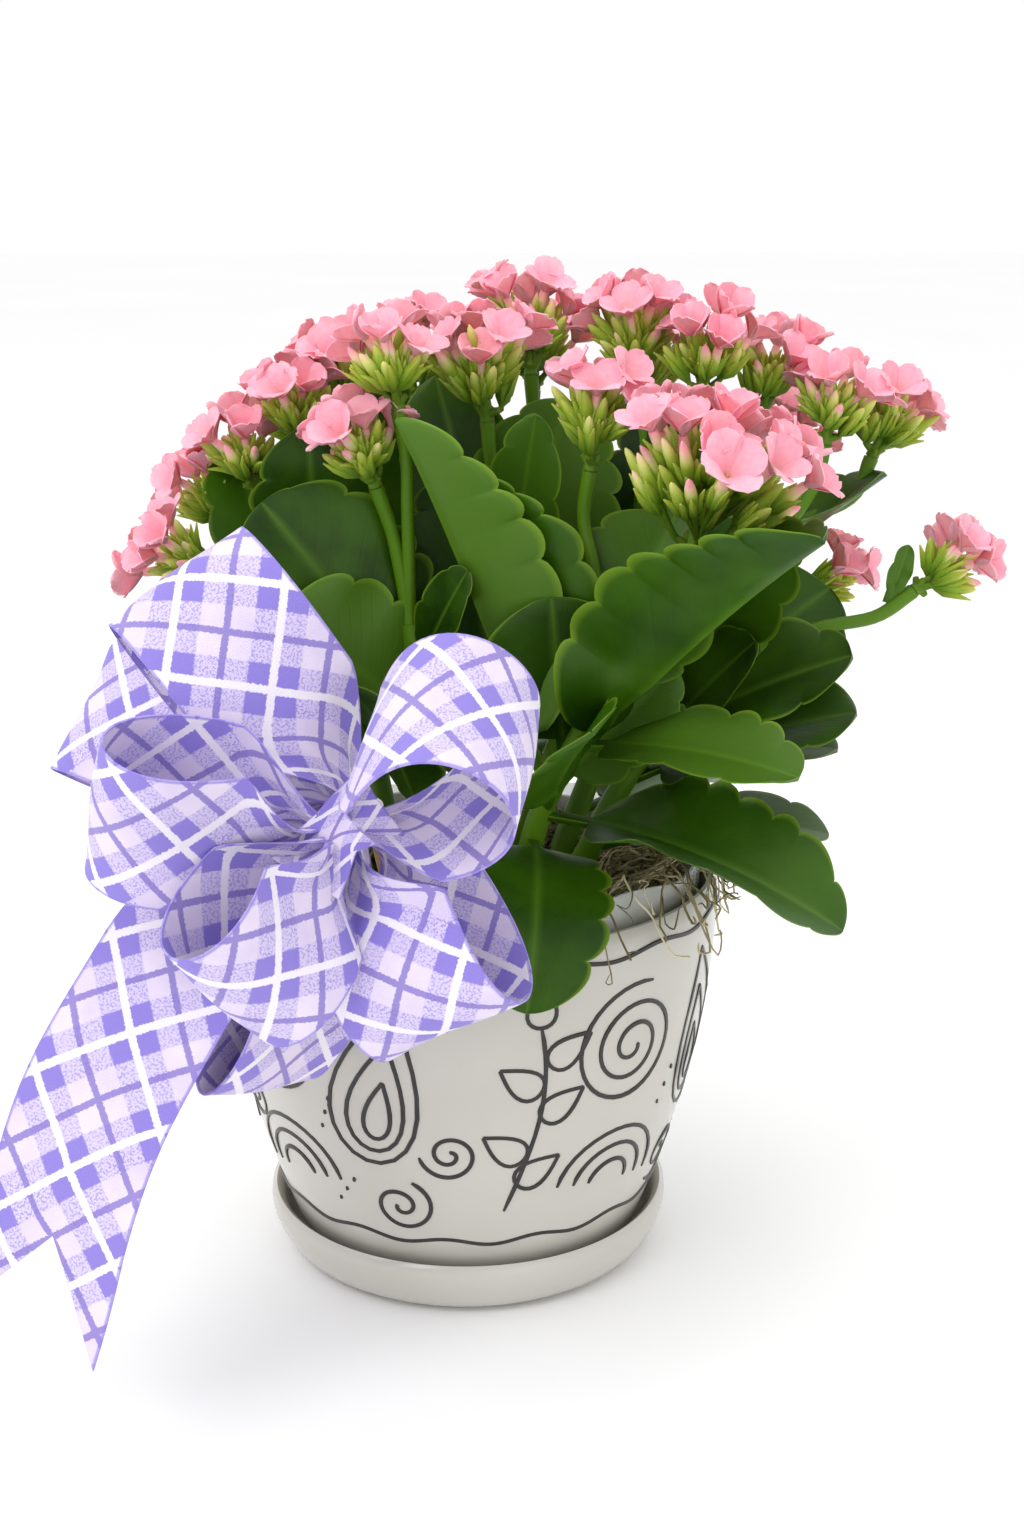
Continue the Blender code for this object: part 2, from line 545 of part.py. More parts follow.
def tail_stations(count):
    path = smooth_path(TAIL_PATH, count)
    first, last = (Vector(v).normalized() for v in TAIL_ACROSS)
    stations = []
    for i, centre in enumerate(path):
        ahead = (path[min(i + 1, count - 1)] - path[max(i - 1, 0)]).normalized()
        share = i / (count - 1)
        across = first.lerp(last, min(1.0, share * 2.2))
        across = (across - ahead * across.dot(ahead)).normalized()
        spread = min(1.0, ROOT_PINCH + (1.0 - ROOT_PINCH) * share * 3.5)
        stations.append((centre, across, RIBBON_WIDTH * 0.5 * spread, across.cross(ahead)))
    return stations


def make_bow():
    lavender = material("plaid_ribbon", (0.74, 0.70, 0.90), 0.6)
    tail = ribbon(tail_stations(TAIL_STATIONS), TAIL_POINT)
    remember(tail, "bow_tail")
    for name, shape in LOOPS.items():
        loop = ribbon(loop_stations(*shape, LOOP_STATIONS))
        if name == TAIL_LOOP:
            remember(loop, "bow_tail")
            combined("bow_tail", [tail, loop], lavender)
        else:
            remember(loop, "bow_loop_" + name)
            mesh_object("bow_loop_" + name, loop, lavender)
    half = BOW_AXIS * TIE_LENGTH * 0.5
    ends = [BOW_CENTRE - half, BOW_CENTRE - half * 0.5, BOW_CENTRE + half * 0.5, BOW_CENTRE + half]
    tie = tube(ends, [TIE_RADIUS, TIE_RADIUS * 0.9, TIE_RADIUS * 0.9, TIE_RADIUS], 8)
    mesh_object("bow_tie", tie, lavender)
    remember(tie, "bow_tie")
    pick = tube(pick_path(), [PICK_RADIUS] * 4, 8)
    mesh_object("bow_pick", pick, material("pick_wood", (0.55, 0.40, 0.22), 0.7))
    remember(pick, "bow_pick")


def stem_path(name, count):
    (x, y), knee, fork = STEMS[name]
    rise = smooth_path([(x, y, SOIL_TOP + 0.003), knee, fork], count)
    return [Vector((x, y, STEM_FOOT))] + rise


def stem_point(name, height):
    """The point on a stem's middle line at this height."""
    path = stem_path(name, 9)
    for low, high in zip(path, path[1:]):
        if low.z <= height <= high.z:
            return low.lerp(high, (height - low.z) / (high.z - low.z))
    return path[-1]


def stalk_path(stem, base, top):
    """The flower stalk from the stem's fork to just under its head, arriving along the head's axis."""
    fork = Vector(STEMS[stem][2])
    base, axis = Vector(base), (Vector(top) - Vector(base)).normalized()
    length = (base - fork).length
    under = base - axis * min(0.012, length * 0.3)
    middle = fork.lerp(under, 0.5) + Vector((0.0, 0.0, 0.04 * length))
    return smooth_path([fork - Vector((0.0, 0.0, 0.002)), middle, under], 4) + [base - axis * SEAT_GAP]


def leaf_nudges(reach):
    """Small moves of a leaf's tip, the smallest first."""
    rng = random.Random(3)
    yield Vector((0.0, 0.0, 0.0))
    for ring in range(1, 9):
        for _ in range(8):
            way = Vector([rng.uniform(-1.0, 1.0) for _ in range(3)])
            yield way * reach * ring / 8.0


def leaf_fits(stem, shape):
    """Whether a leaf keeps clear of the other nodes, and its blade of its own stem's blades."""
    whole = BVHTree.FromPolygons(*leaf(*shape, CLEARANCE))
    blade = BVHTree.FromPolygons(*leaf(*shape, CLEARANCE, True))
    for owner, other in placed:
        if owner == stem + "_blade":
            if blade.overlap(other):
                return False
        elif not owner.endswith("_blade") and owner not in (stem, stem + "_leaf") and whole.overlap(other):
            return False
    return True


def try_leaf(stem, root, tip, width, face, fold, arch, reach):
    """The first small move of a leaf that fits, as a mesh, or None."""
    for nudge in leaf_nudges(reach):
        shape = (root, tip + nudge, width, face, fold, arch)
        if leaf_fits(stem, shape):
            made = leaf(*shape)
            remember(made, stem + "_leaf")
            remember(leaf(*shape, 0.0, True), stem + "_blade")
            return made
    return None


def fill_leaves(stem):
    """Opposite pairs of leaves up a stem, each a quarter turn on from the last, over one outward leaf."""
    rng = random.Random("fill " + stem)
    spot = STEMS[stem][0]
    outward = math.atan2(spot[1], spot[0])
    made = []
    for level, height in enumerate(FILL_LEVELS):
        for turn in (0, 1):
            angle = outward + math.pi * turn + math.pi / 2 * level + rng.uniform(-0.3, 0.3)
            rise = math.radians(FILL_RISES[level] + rng.uniform(-6.0, 6.0))
            length = FILL_LENGTHS[level] * rng.uniform(0.9, 1.1)
            if math.cos(angle - outward) < -0.5:
                length, rise = length * 0.8, rise + 0.35
            out = Vector((math.cos(angle), math.sin(angle), 0.0))
            way = out * math.cos(rise) + Vector((0.0, 0.0, math.sin(rise)))
            face = Vector((0.0, 0.0, math.cos(rise))) - out * math.sin(rise)
            if level == 0 and turn == 1:
                continue
            root = stem_point(stem, height)
            width = length * FILL_WIDTH
            found = try_leaf(stem, root, root + way * length, width, face, FILL_FOLD, FILL_ARCH, FILL_REACH)
            if found:
                made.append(found)
    return made


def place_stems():
    """Stems with their flower stalks, as lists of pieces by stem."""
    pieces = {}
    for name in STEMS:
        path = stem_path(name, 5)
        radii = [STEM_RADIUS] * 3 + [STEM_RADIUS * 0.9, STEM_RADIUS * 0.85, STEM_RADIUS * 0.8]
        pieces[name] = [tube(path, radii, 6)]
    for stem, base, top, _, _, _ in HEADS:
        path = stalk_path(stem, base, top)
        radii = [STALK_RADIUS * 1.15] + [STALK_RADIUS] * (len(path) - 2) + [STALK_RADIUS * 1.2]
        pieces[stem].append(tube(path, radii, 4))
    for name, made in pieces.items():
        for piece in made:
            remember(piece, name)
    return pieces


def grow_flower(head, socket, centre, facing, size):
    """Draws an open flower out of one face of the head: throat, petals and a sunk middle."""
    points, faces = head
    corners = len(socket)
    middle = sum((points[n] for n in socket), Vector()) / corners
    side = points[socket[0]] - middle
    side = (side - facing * side.dot(facing)).normalized()
    other = facing.cross(side)
    throat = centre - facing * THROAT_DEPTH
    first = len(points)
    for k in range(corners):
        angle = 2.0 * math.pi * k / corners
        points.append(throat + (side * math.cos(angle) + other * math.sin(angle)) * THROAT_RADIUS)
    turn = 0.0 if corners == 4 else math.pi / 12
    points += petal_rim(centre, side, other, turn, size)
    points.append(centre - facing * HEART_DEPTH)
    rim, heart, share = first + corners, first + corners + 12, 12 // corners
    for k in range(corners):
        after = (k + 1) % corners
        faces.append((socket[k], socket[after], first + after, first + k))
        for step in range(share):
            a, b = rim + k * share + step, rim + (k * share + step + 1) % 12
            faces += [(first + k, b, a), (heart, a, b)]
        faces.append((first + k, first + after, rim + (k * share + share) % 12))


def grow_bud(head, socket, tip):
    """Draws a closed bud out of one face of the head."""
    points, faces = head
    middle = sum((points[n] for n in socket), Vector()) / 4
    ahead = (tip - middle).normalized()
    waist = middle.lerp(tip, BUD_WAIST)
    first = len(points)
    for n in socket:
        way = points[n] - middle
        points.append(waist + (way - ahead * way.dot(ahead)).normalized() * BUD_RADIUS)
    points.append(tip)
    for k in range(4):
        after = (k + 1) % 4
        faces += [(socket[k], socket[after], first + after, first + k), (first + k, first + after, first + 4)]


def head_core(base, top, spread):
    """The core of a head. Its side faces come row by row, then its foot and its top face."""
    path = [base] + [base.lerp(top, up) for up, _ in HEAD_RINGS]
    return tube(path, [HEAD_FOOT] + [spread * share for _, share in HEAD_RINGS], CORE_SIDES)


def plan_head(owner, seed, core, base, top, spread, flowers, buds):
    """Which faces of a head's core carry an open flower or a bud, and where each one ends."""
    rng = random.Random(seed)
    height, axis = (top - base).length, (top - base).normalized()
    points, faces = core
    side = (points[0] - base).normalized()
    other = axis.cross(side)
    size = 1.0 if spread > 0.020 else 0.90
    full = flowers > 4
    own, used = [], {}

    def face_middle(face):
        if face == TOP_FACE:
            return base.lerp(top, HEAD_RINGS[-1][0])
        return sum((points[n] for n in faces[face[0] * CORE_SIDES + face[1]]), Vector()) / 4

    def radial(k, sway):
        angle = 2.0 * math.pi * (k + 0.5) / CORE_SIDES + rng.uniform(-sway, sway)
        return side * math.cos(angle) + other * math.sin(angle)

    def claim(face, kind, room, spot, facing):
        tree = BVHTree.FromPolygons(*room)
        if clashes(room, owner) or any(tree.overlap(old) for old in own):
            return False
        own.append(tree)
        used[face] = (kind, spot, facing)
        return True

    upper = [(2, k) for k in ((0, 3, 1, 4, 2, 5) if full else (0, 2, 4, 1, 3, 5))]
    for face in ([TOP_FACE] if full else []) + upper:
        if len(used) == flowers:
            break
        for _ in range(12):
            out = radial(face[1], 0.25)
            lean = 0.0 if face == TOP_FACE else 1.0
            reach = lean * max(0.0, spread - 0.45 * FLORET_RADIUS) * rng.uniform(0.80, 1.05)
            rise = rng.uniform(0.90, 1.14) + 0.18 * (1.0 - lean)
            centre = base + axis * height * rise + out * reach
            facing = (axis + out * lean * rng.uniform(0.6, 1.2)).normalized()
            room = flower_room(face_middle(face).lerp(centre, 0.1), centre, facing, rng.uniform(0, 1.5), size)
            if claim(face, "flower", room, centre, facing):
                break
    opened = len(used)
    for face in [(row, k) for row in (1, 2, 0) for k in range(CORE_SIDES) if (row, k) not in used]:
        if len(used) - opened == buds:
            break
        for _ in range(10):
            out = radial(face[1], 0.3)
            rise = rng.uniform(0.62, 1.0) + 0.08 * (face[0] - 1)
            tip = base + axis * height * rise + out * spread * rng.uniform(0.62, 0.95)
            if claim(face, "bud", bud_room(face_middle(face).lerp(tip, 0.2), tip), tip, None):
                break
    return used, size


def draw_head(core, used, size):
    """The head as one closed mesh, each planned flower and bud grown from its face of the core."""
    points, faces = core
    head = (list(points), [faces[3 * CORE_SIDES]])
    sockets = {(n // CORE_SIDES, n % CORE_SIDES): face for n, face in enumerate(faces[:3 * CORE_SIDES])}
    sockets[TOP_FACE] = faces[3 * CORE_SIDES + 1]
    for place, socket in sockets.items():
        kind, spot, facing = used.get(place, (None, None, None))
        if kind == "flower":
            grow_flower(head, socket, spot, facing, size)
        elif kind == "bud":
            grow_bud(head, socket, spot)
        else:
            head[1].append(socket)
    return head


def own_crossings(piece):
    """How many pairs of faces of a mesh meet without sharing a corner."""
    tree = BVHTree.FromPolygons(*piece)
    return sum(not set(piece[1][a]) & set(piece[1][b]) for a, b in tree.overlap(tree)) // 2


def grow_head(number, base, top, spread, flowers, buds):
    """The plan of a head that crosses its neighbours and itself least, as soon as one doesn't at all.

    Gives the head's owner, mesh, planned places and size.
    """
    owner = f"flower_head_{number:02d}"
    core = head_core(base, top, spread)
    fewest, chosen = None, None
    for attempt in range(1, HEAD_PLANS + 1):
        used, size = plan_head(owner, 100 * attempt + number, core, base, top, spread, flowers, buds)
        head = draw_head(core, used, size)
        faults = (clashes(head, owner), own_crossings(head))
        if chosen is None or faults < fewest:
            fewest, chosen = faults, (head, used, size)
        if not any(faults):
            break
    remember(chosen[0], owner)
    return owner, *chosen


def grow_hand_leaves(pieces, wanted):
    for stem, height, tip, width, face, fold, arch in wanted:
        root = stem_point(stem, height)
        found = try_leaf(stem, root, Vector(tip), width, Vector(face), fold, arch, HAND_REACH)
        if found:
            pieces[stem].append(found)


def make_plant():
    green = material("leaf_green", (0.10, 0.27, 0.06), 0.4)
    pink = material("flower_pink", (0.90, 0.45, 0.52), 0.6)
    pieces = place_stems()
    for number, (_, base, top, spread, _, _) in enumerate(HEADS, 1):
        remember(head_core(Vector(base), Vector(top), spread), f"flower_head_{number:02d}")
    grow_hand_leaves(pieces, LEAVES[:FIRST_LEAVES])
    for number, (_, base, top, spread, flowers, buds) in enumerate(HEADS, 1):
        owner, head, _, _ = grow_head(number, Vector(base), Vector(top), spread, flowers, buds)
        mesh_object(owner, head, pink)
    grow_hand_leaves(pieces, LEAVES[FIRST_LEAVES:-LAST_LEAVES])
    for stem, root, tip, width in BRACTS:
        bract = leaf(Vector(root), Vector(tip), width, Vector((0.0, -1.0, 0.3)), 20.0, 0.0)
        remember(bract, stem + "_leaf")
        pieces[stem].append(bract)
    for stem in FILL_STEMS:
        pieces[stem] += fill_leaves(stem)
    grow_hand_leaves(pieces, LEAVES[-LAST_LEAVES:])
    for stem, made in pieces.items():
        combined("leafy_stem_" + stem, made, green)


def main():
    clear_scene()
    make_turned_parts()
    make_liner()
    make_soil()
    make_moss()
    make_bow()
    make_plant()


main()
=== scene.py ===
"""The looks of a flowering kalanchoe in a glazed pot on its saucer, with moss and a ribbon bow.

Lengths are in metres and +Z is up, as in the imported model. The stems, leaves, flower heads and
ribbons follow the part's own named values and random draws. The part moved a leaf, flower or bud
that met another piece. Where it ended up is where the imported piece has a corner.
"""

import math
import random

import bpy
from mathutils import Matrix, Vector
from mathutils.kdtree import KDTree


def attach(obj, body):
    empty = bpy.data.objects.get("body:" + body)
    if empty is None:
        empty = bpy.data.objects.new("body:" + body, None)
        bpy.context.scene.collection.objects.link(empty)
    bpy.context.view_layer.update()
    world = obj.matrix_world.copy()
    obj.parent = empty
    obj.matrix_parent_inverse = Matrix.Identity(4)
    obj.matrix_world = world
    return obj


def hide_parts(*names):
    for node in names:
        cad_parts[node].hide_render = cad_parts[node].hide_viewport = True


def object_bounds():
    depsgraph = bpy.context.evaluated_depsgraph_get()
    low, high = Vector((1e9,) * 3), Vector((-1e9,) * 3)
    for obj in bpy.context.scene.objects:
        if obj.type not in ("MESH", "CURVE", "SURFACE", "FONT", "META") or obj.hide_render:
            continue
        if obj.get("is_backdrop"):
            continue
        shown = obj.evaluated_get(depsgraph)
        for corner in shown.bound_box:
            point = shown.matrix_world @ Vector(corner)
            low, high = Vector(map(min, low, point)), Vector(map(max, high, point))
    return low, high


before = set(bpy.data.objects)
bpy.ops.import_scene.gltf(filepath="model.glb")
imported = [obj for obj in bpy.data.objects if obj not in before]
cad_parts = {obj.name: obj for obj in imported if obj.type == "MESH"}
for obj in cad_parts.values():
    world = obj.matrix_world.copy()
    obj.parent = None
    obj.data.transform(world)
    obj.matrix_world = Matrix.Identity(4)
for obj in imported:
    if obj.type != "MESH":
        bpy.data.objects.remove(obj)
CAD_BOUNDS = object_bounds()
UP = Vector((0.0, 0.0, 1.0))

# Turned profiles, as (radius, height), up the outside and down the inside
SAUCER_PROFILE = [
    (0.0, 0.0), (0.0504, 0.0), (0.0518, 0.0012), (0.0562, 0.0090), (0.0570, 0.0138), (0.0560, 0.0168),
    (0.0545, 0.0168), (0.0528, 0.0140), (0.0514, 0.0075), (0.0494, 0.0042), (0.0, 0.0040),
]
POT_PROFILE = [
    (0.0060, 0.0045), (0.0460, 0.0045), (0.0484, 0.0070), (0.0532, 0.0205), (0.0597, 0.0407),
    (0.0650, 0.0633), (0.0684, 0.0850), (0.0700, 0.1070), (0.0692, 0.1108), (0.0672, 0.1118),
    (0.0658, 0.1080), (0.0642, 0.0850), (0.0608, 0.0633), (0.0550, 0.0400), (0.0462, 0.0140),
    (0.0430, 0.0098), (0.0060, 0.0098),
]
OUTER_WALL = POT_PROFILE[1:10]
LINER_WALL = 0.0007
LINER_OUTSIDE = [
    (0.0420, 0.0102), (0.0448, 0.0140), (0.0538, 0.0400), (0.0596, 0.0633), (0.0630, 0.0850),
    (0.0644, 0.1070),
]
LINER_LIP = 0.1140
LIP_RIPPLE = 0.0030
POT_SIDES = 144
PROFILE_STEP, CORNER_CUT = 0.004, 0.22
# Moss: the ring that it fills on the soil, and the strands that spill over the rim
SOIL_TOP = 0.1010
MOSS_INNER, MOSS_OUTER, MOSS_HEIGHT = 0.0400, 0.0615, 0.0075
MOSS_WISPS, SPILL_WISPS = 900, 42
SPILL_COURSE = [(0.050, 0.107), (0.0590, 0.1180), (0.0660, 0.1225), (0.0715, 0.1190)]
WISP_RADII, WISP_WOBBLE = (0.00022, 0.00046), 0.0011
SPILL_RADII, SPILL_WOBBLE = (0.00016, 0.00034), 0.0014
SPILL_ANGLES = (-82.0, 34.0, -30.0)
STEM_FOOT = 0.0800
STEM_RADIUS, STALK_RADIUS = 0.0034, 0.0017
STEM_STATIONS, STEM_SIDES = 24, 12
SEAT_GAP = 0.0003
# Stems: place in the soil, a point half-way up, and the fork where the flower stalks start
STEMS = {
    "front": ((0.014, -0.026), (0.019, -0.035, 0.135), (0.036, -0.047, 0.174)),
    "right": ((0.028, -0.010), (0.040, -0.018, 0.135), (0.060, -0.028, 0.170)),
    "right_back": ((0.026, 0.014), (0.038, 0.020, 0.135), (0.064, 0.022, 0.180)),
    "middle": ((0.000, -0.004), (0.006, -0.006, 0.140), (0.012, -0.008, 0.195)),
    "crown": ((0.012, 0.008), (0.024, 0.002, 0.140), (0.046, 0.002, 0.195)),
    "left_front": ((-0.014, -0.020), (-0.010, -0.026, 0.135), (-0.014, -0.028, 0.184)),
    "left": ((-0.028, -0.004), (-0.034, -0.008, 0.135), (-0.042, -0.008, 0.184)),
    "left_back": ((-0.020, 0.018), (-0.026, 0.026, 0.135), (-0.030, 0.036, 0.186)),
    "back": ((0.004, 0.026), (0.010, 0.036, 0.135), (0.022, 0.044, 0.190)),
}
# Flower heads: stem, end of the stalk, middle of the flowers, half width, open flowers, buds
HEADS = [
    ("front", (0.053, -0.060, 0.207), (0.061, -0.062, 0.237), 0.0245, 7, 11),
    ("front", (0.031, -0.036, 0.224), (0.034, -0.036, 0.247), 0.0125, 3, 7),
    ("left_front", (-0.016, -0.030, 0.238), (-0.019, -0.030, 0.258), 0.0110, 2, 8),
    ("left_front", (-0.022, -0.029, 0.219), (-0.028, -0.030, 0.237), 0.0110, 2, 5),
    ("middle", (0.006, -0.012, 0.233), (0.004, -0.011, 0.256), 0.0150, 4, 9),
    ("middle", (0.018, 0.016, 0.242), (0.017, 0.018, 0.265), 0.0135, 4, 6),
    ("crown", (0.046, 0.007, 0.240), (0.044, 0.007, 0.261), 0.0125, 3, 9),
    ("crown", (0.062, -0.004, 0.238), (0.063, -0.004, 0.259), 0.0130, 4, 7),
    ("crown", (0.079, 0.010, 0.232), (0.082, 0.011, 0.252), 0.0110, 3, 6),
    ("right", (0.094, -0.004, 0.226), (0.098, -0.004, 0.244), 0.0120, 3, 8),
    ("right", (0.115, -0.024, 0.191), (0.131, -0.020, 0.201), 0.0105, 3, 6),
    ("right_back", (0.110, 0.014, 0.220), (0.118, 0.016, 0.237), 0.0120, 3, 7),
    ("right_back", (0.094, 0.027, 0.178), (0.109, 0.030, 0.188), 0.0095, 2, 4),
    ("left", (-0.042, -0.002, 0.226), (-0.045, -0.002, 0.244), 0.0110, 3, 6),
    ("left", (-0.032, 0.010, 0.232), (-0.035, 0.011, 0.251), 0.0110, 3, 5),
    ("left", (-0.054, -0.004, 0.214), (-0.060, -0.005, 0.232), 0.0100, 2, 5),
    ("left", (-0.064, -0.012, 0.193), (-0.081, -0.014, 0.203), 0.0115, 3, 7),
    ("left", (-0.062, 0.004, 0.204), (-0.074, 0.004, 0.217), 0.0090, 2, 4),
    ("left_back", (-0.042, 0.036, 0.220), (-0.048, 0.041, 0.238), 0.0140, 4, 7),
    ("left_back", (-0.014, 0.044, 0.232), (-0.016, 0.049, 0.252), 0.0140, 4, 7),
    ("back", (0.020, 0.052, 0.234), (0.021, 0.057, 0.254), 0.0140, 4, 7),
    ("back", (0.050, 0.042, 0.230), (0.053, 0.046, 0.250), 0.0140, 4, 7),
    ("right_back", (0.084, 0.038, 0.212), (0.091, 0.043, 0.229), 0.0130, 3, 6),
]
# How the part draws a head, and how near a packed corner has to be
FLORET_RADIUS = 0.0082
HEART_DEPTH = 0.0012
CORE_SIDES = 6
TOP_FACE = (3, 0)
HEAD_PLANS = 90
SAME_PLACE = 0.00001
# More flowers and buds than in the part, fewer of them on a loose head that leans out
MORE_FLOWERS, LOOSE_FLOWERS = 2.3, 1.3
MORE_BUDS, LOOSE_BUDS = 3.2, 2.2
LOOSE_LEAN = 0.75
FLOWER_APART, BUD_APART, BUD_FROM_FLOWER = 0.0085, 0.0030, 0.0040
FLOWER_CUP, FLOWER_TUBE = 0.0042, 0.0115
PETAL_LENGTH, PETAL_WIDTH, PETAL_BODY = 0.0098, 0.0088, 0.00022
PETAL_START, PETAL_BROADEST = 0.42, 0.62
PETAL_ROWS, PETAL_COLUMNS = 9, (-1.0, -0.6, 0.0, 0.6, 1.0)
PETAL_HOLLOW, PETAL_RUFFLE = 0.13, 0.0004
# Leaves: the part's stalk, and the finer blade with its teeth
LEAF_STALK, STALK_HALF, STALK_ROWS = 0.16, 0.0020, 5
LEAF_LENGTHWISE, LEAF_ACROSS, TIP_ROWS = 64, 5, 1.6
LEAF_BODY, LEAF_EDGE = 0.0015, 0.0002
LEAF_RIPPLE = (0.0004, 0.0011)
GROOVE_DEPTH, GROOVE_WIDTH, FOLD_SOFTNESS = 0.00035, 0.09, 0.006
LEAF_SEED = 3984
TOOTH_LENGTH, TOOTH_DEPTH, TOOTH_MIDDLE = 0.0112, 0.0030, 0.68
# The last leaves of the list are placed after all others
LAST_LEAVES = 4
# Leaves: stem, height on it, tip, width, way the upper face looks, fold in degrees, arch
LEAVES = [
    ("front", 0.150, (0.079, -0.092, 0.218), 0.054, (-0.58, 0.53, 0.62), 55, 0.06),
    ("left_front", 0.130, (-0.026, -0.068, 0.177), 0.022, (0.00, -0.30, 0.95), 14, 0.08),
    ("left_front", 0.158, (-0.044, -0.048, 0.188), 0.042, (0.20, -0.85, 0.50), 10, 0.06),
    ("front", 0.128, (0.014, -0.090, 0.103), 0.036, (0.15, -0.50, 0.85), 12, 0.36),
    ("front", 0.136, (0.093, -0.066, 0.114), 0.046, (0.45, -0.35, 0.80), 28, 0.14),
    ("front", 0.156, (0.078, -0.080, 0.158), 0.034, (0.05, -0.30, 0.95), 15, 0.10),
    ("front", 0.150, (0.021, -0.050, 0.195), 0.038, (0.00, -0.95, 0.30), 10, 0.05),
    ("front", 0.166, (0.051, -0.036, 0.213), 0.042, (-0.20, -0.90, 0.30), 12, 0.05),
    ("front", 0.162, (0.009, -0.044, 0.229), 0.036, (0.60, 0.35, 0.50), 45, 0.05),
    ("front", 0.142, (-0.017, -0.052, 0.239), 0.044, (0.75, 0.45, 0.45), 45, 0.04),
    ("right", 0.152, (0.096, -0.045, 0.179), 0.036, (0.00, -0.50, 0.85), 15, 0.08),
    ("right", 0.162, (0.094, -0.015, 0.190), 0.040, (0.10, -0.70, 0.65), 12, 0.06),
    ("right", 0.140, (0.092, -0.040, 0.156), 0.042, (0.00, -0.30, 0.95), 12, 0.08),
    ("right", 0.168, (0.078, -0.036, 0.216), 0.032, (-0.30, -0.80, 0.50), 15, 0.04),
    ("right", 0.146, (0.076, -0.052, 0.184), 0.026, (-0.20, -0.60, 0.75), 15, 0.05),
    ("right_back", 0.132, (0.099, -0.014, 0.146), 0.032, (0.00, -0.20, 0.98), 12, 0.08),
    ("right_back", 0.166, (0.112, 0.005, 0.217), 0.034, (-0.60, 0.00, 0.80), 25, 0.04),
    ("middle", 0.160, (0.026, -0.008, 0.238), 0.042, (0.00, -1.00, 0.10), 8, 0.04),
    ("middle", 0.170, (0.014, -0.040, 0.238), 0.020, (0.00, -0.70, 0.70), 12, 0.04),
    ("middle", 0.158, (-0.001, -0.020, 0.224), 0.036, (0.00, -1.00, 0.10), 8, 0.04),
    ("front", 0.138, (0.029, -0.086, 0.171), 0.034, (-0.30, -0.45, 0.85), 14, 0.06),
    ("left_front", 0.162, (-0.050, -0.034, 0.216), 0.050, (0.30, -0.85, 0.45), 10, 0.06),
    ("left_front", 0.170, (0.002, -0.046, 0.199), 0.016, (0.00, -0.70, 0.70), 14, 0.05),
    ("left", 0.165, (-0.039, -0.020, 0.233), 0.034, (0.20, -0.95, 0.20), 10, 0.05),
    ("left", 0.140, (-0.081, -0.008, 0.186), 0.038, (0.00, -0.50, 0.85), 12, 0.08),
    ("left", 0.172, (-0.064, 0.008, 0.222), 0.028, (0.00, -0.60, 0.80), 12, 0.06),
    ("left_back", 0.172, (-0.020, 0.030, 0.236), 0.034, (0.00, -1.00, 0.10), 8, 0.04),
    ("middle", 0.178, (-0.014, 0.004, 0.236), 0.030, (0.00, -1.00, 0.10), 8, 0.04),
    ("crown", 0.182, (0.064, 0.014, 0.234), 0.034, (0.00, -1.00, 0.10), 8, 0.04),
    ("front", 0.142, (0.052, -0.044, 0.176), 0.024, (0.00, -0.90, 0.40), 10, 0.04),
]
# Small leaves on flower stalks: stem, root, tip, width
BRACTS = [
    ("right", (0.1085, -0.0255, 0.1880), (0.1130, -0.0250, 0.2030), 0.0060),
]
# Leaves by rule: four levels of opposite pairs, longer and flatter towards the rim
FILL_LEVELS = (0.120, 0.136, 0.152, 0.168)
FILL_LENGTHS = (0.066, 0.070, 0.066, 0.058)
FILL_RISES = (4.0, 24.0, 42.0, 58.0)
FILL_WIDTH = 0.66
FILL_FOLD, FILL_ARCH = 14.0, 0.12
HAND_REACH, FILL_REACH = 0.014, 0.022
FILL_STEMS = ("right", "right_back", "crown", "left", "left_back", "back")
# Bow of wide ribbon, tied in the middle and held in front of the rim on a pick
RIBBON_WIDTH, RIBBON_THICKNESS = 0.038, 0.0005
RIBBON_HALF = RIBBON_WIDTH / 2
RIBBON_STATIONS, RIBBON_ACROSS = 60, 9
PLEAT_DEPTH = 0.0010
PLAID_PITCH = 0.0240
BOW_CENTRE = Vector((-0.0260, -0.0900, 0.1515))
BOW_AXIS = Vector((-0.20, -0.97, 0.12)).normalized()
TIE_RADIUS, TIE_HALF = 0.0042, 0.0125
TIE_STATIONS, TIE_SIDES, TIE_PLEATS, TIE_PLEAT_DEPTH = 17, 40, 5, 0.07
# Loops: way out, way across the ribbon, length, depth, place along the tie, start off its axis
LOOPS = {
    "upper_left": ((-0.60, 0.14, 0.78), (0.90, 0.24, 0.20), 0.067, 0.024, -0.60, 0.0046),
    "small_left": ((-0.879, 0.425, 0.218), (0.144, -0.566, -0.812), 0.0790, 0.0160, -1.14, 0.0039),
    "middle_left": ((-0.970, -0.190, 0.157), (0.267, -0.380, 0.885), 0.0514, 0.0220, 0.68, 0.0059),
    "upper_right": ((0.654, -0.476, 0.588), (0.360, 0.651, 0.669), 0.0500, 0.0340, 0.75, 0.0054),
    "lower_front": ((-0.52, -0.50, -0.66), (0.38, 0.36, -0.82), 0.0440, 0.0220, 0.98, 0.0041),
    "lower_right": ((0.44, -0.28, -0.86), (0.76, -0.24, 0.60), 0.050, 0.028, 0.03, 0.0046),
    "bottom": ((-0.366, -0.009, -0.931), (0.642, 0.748, -0.168), 0.0716, 0.0143, -0.68, 0.0044),
}
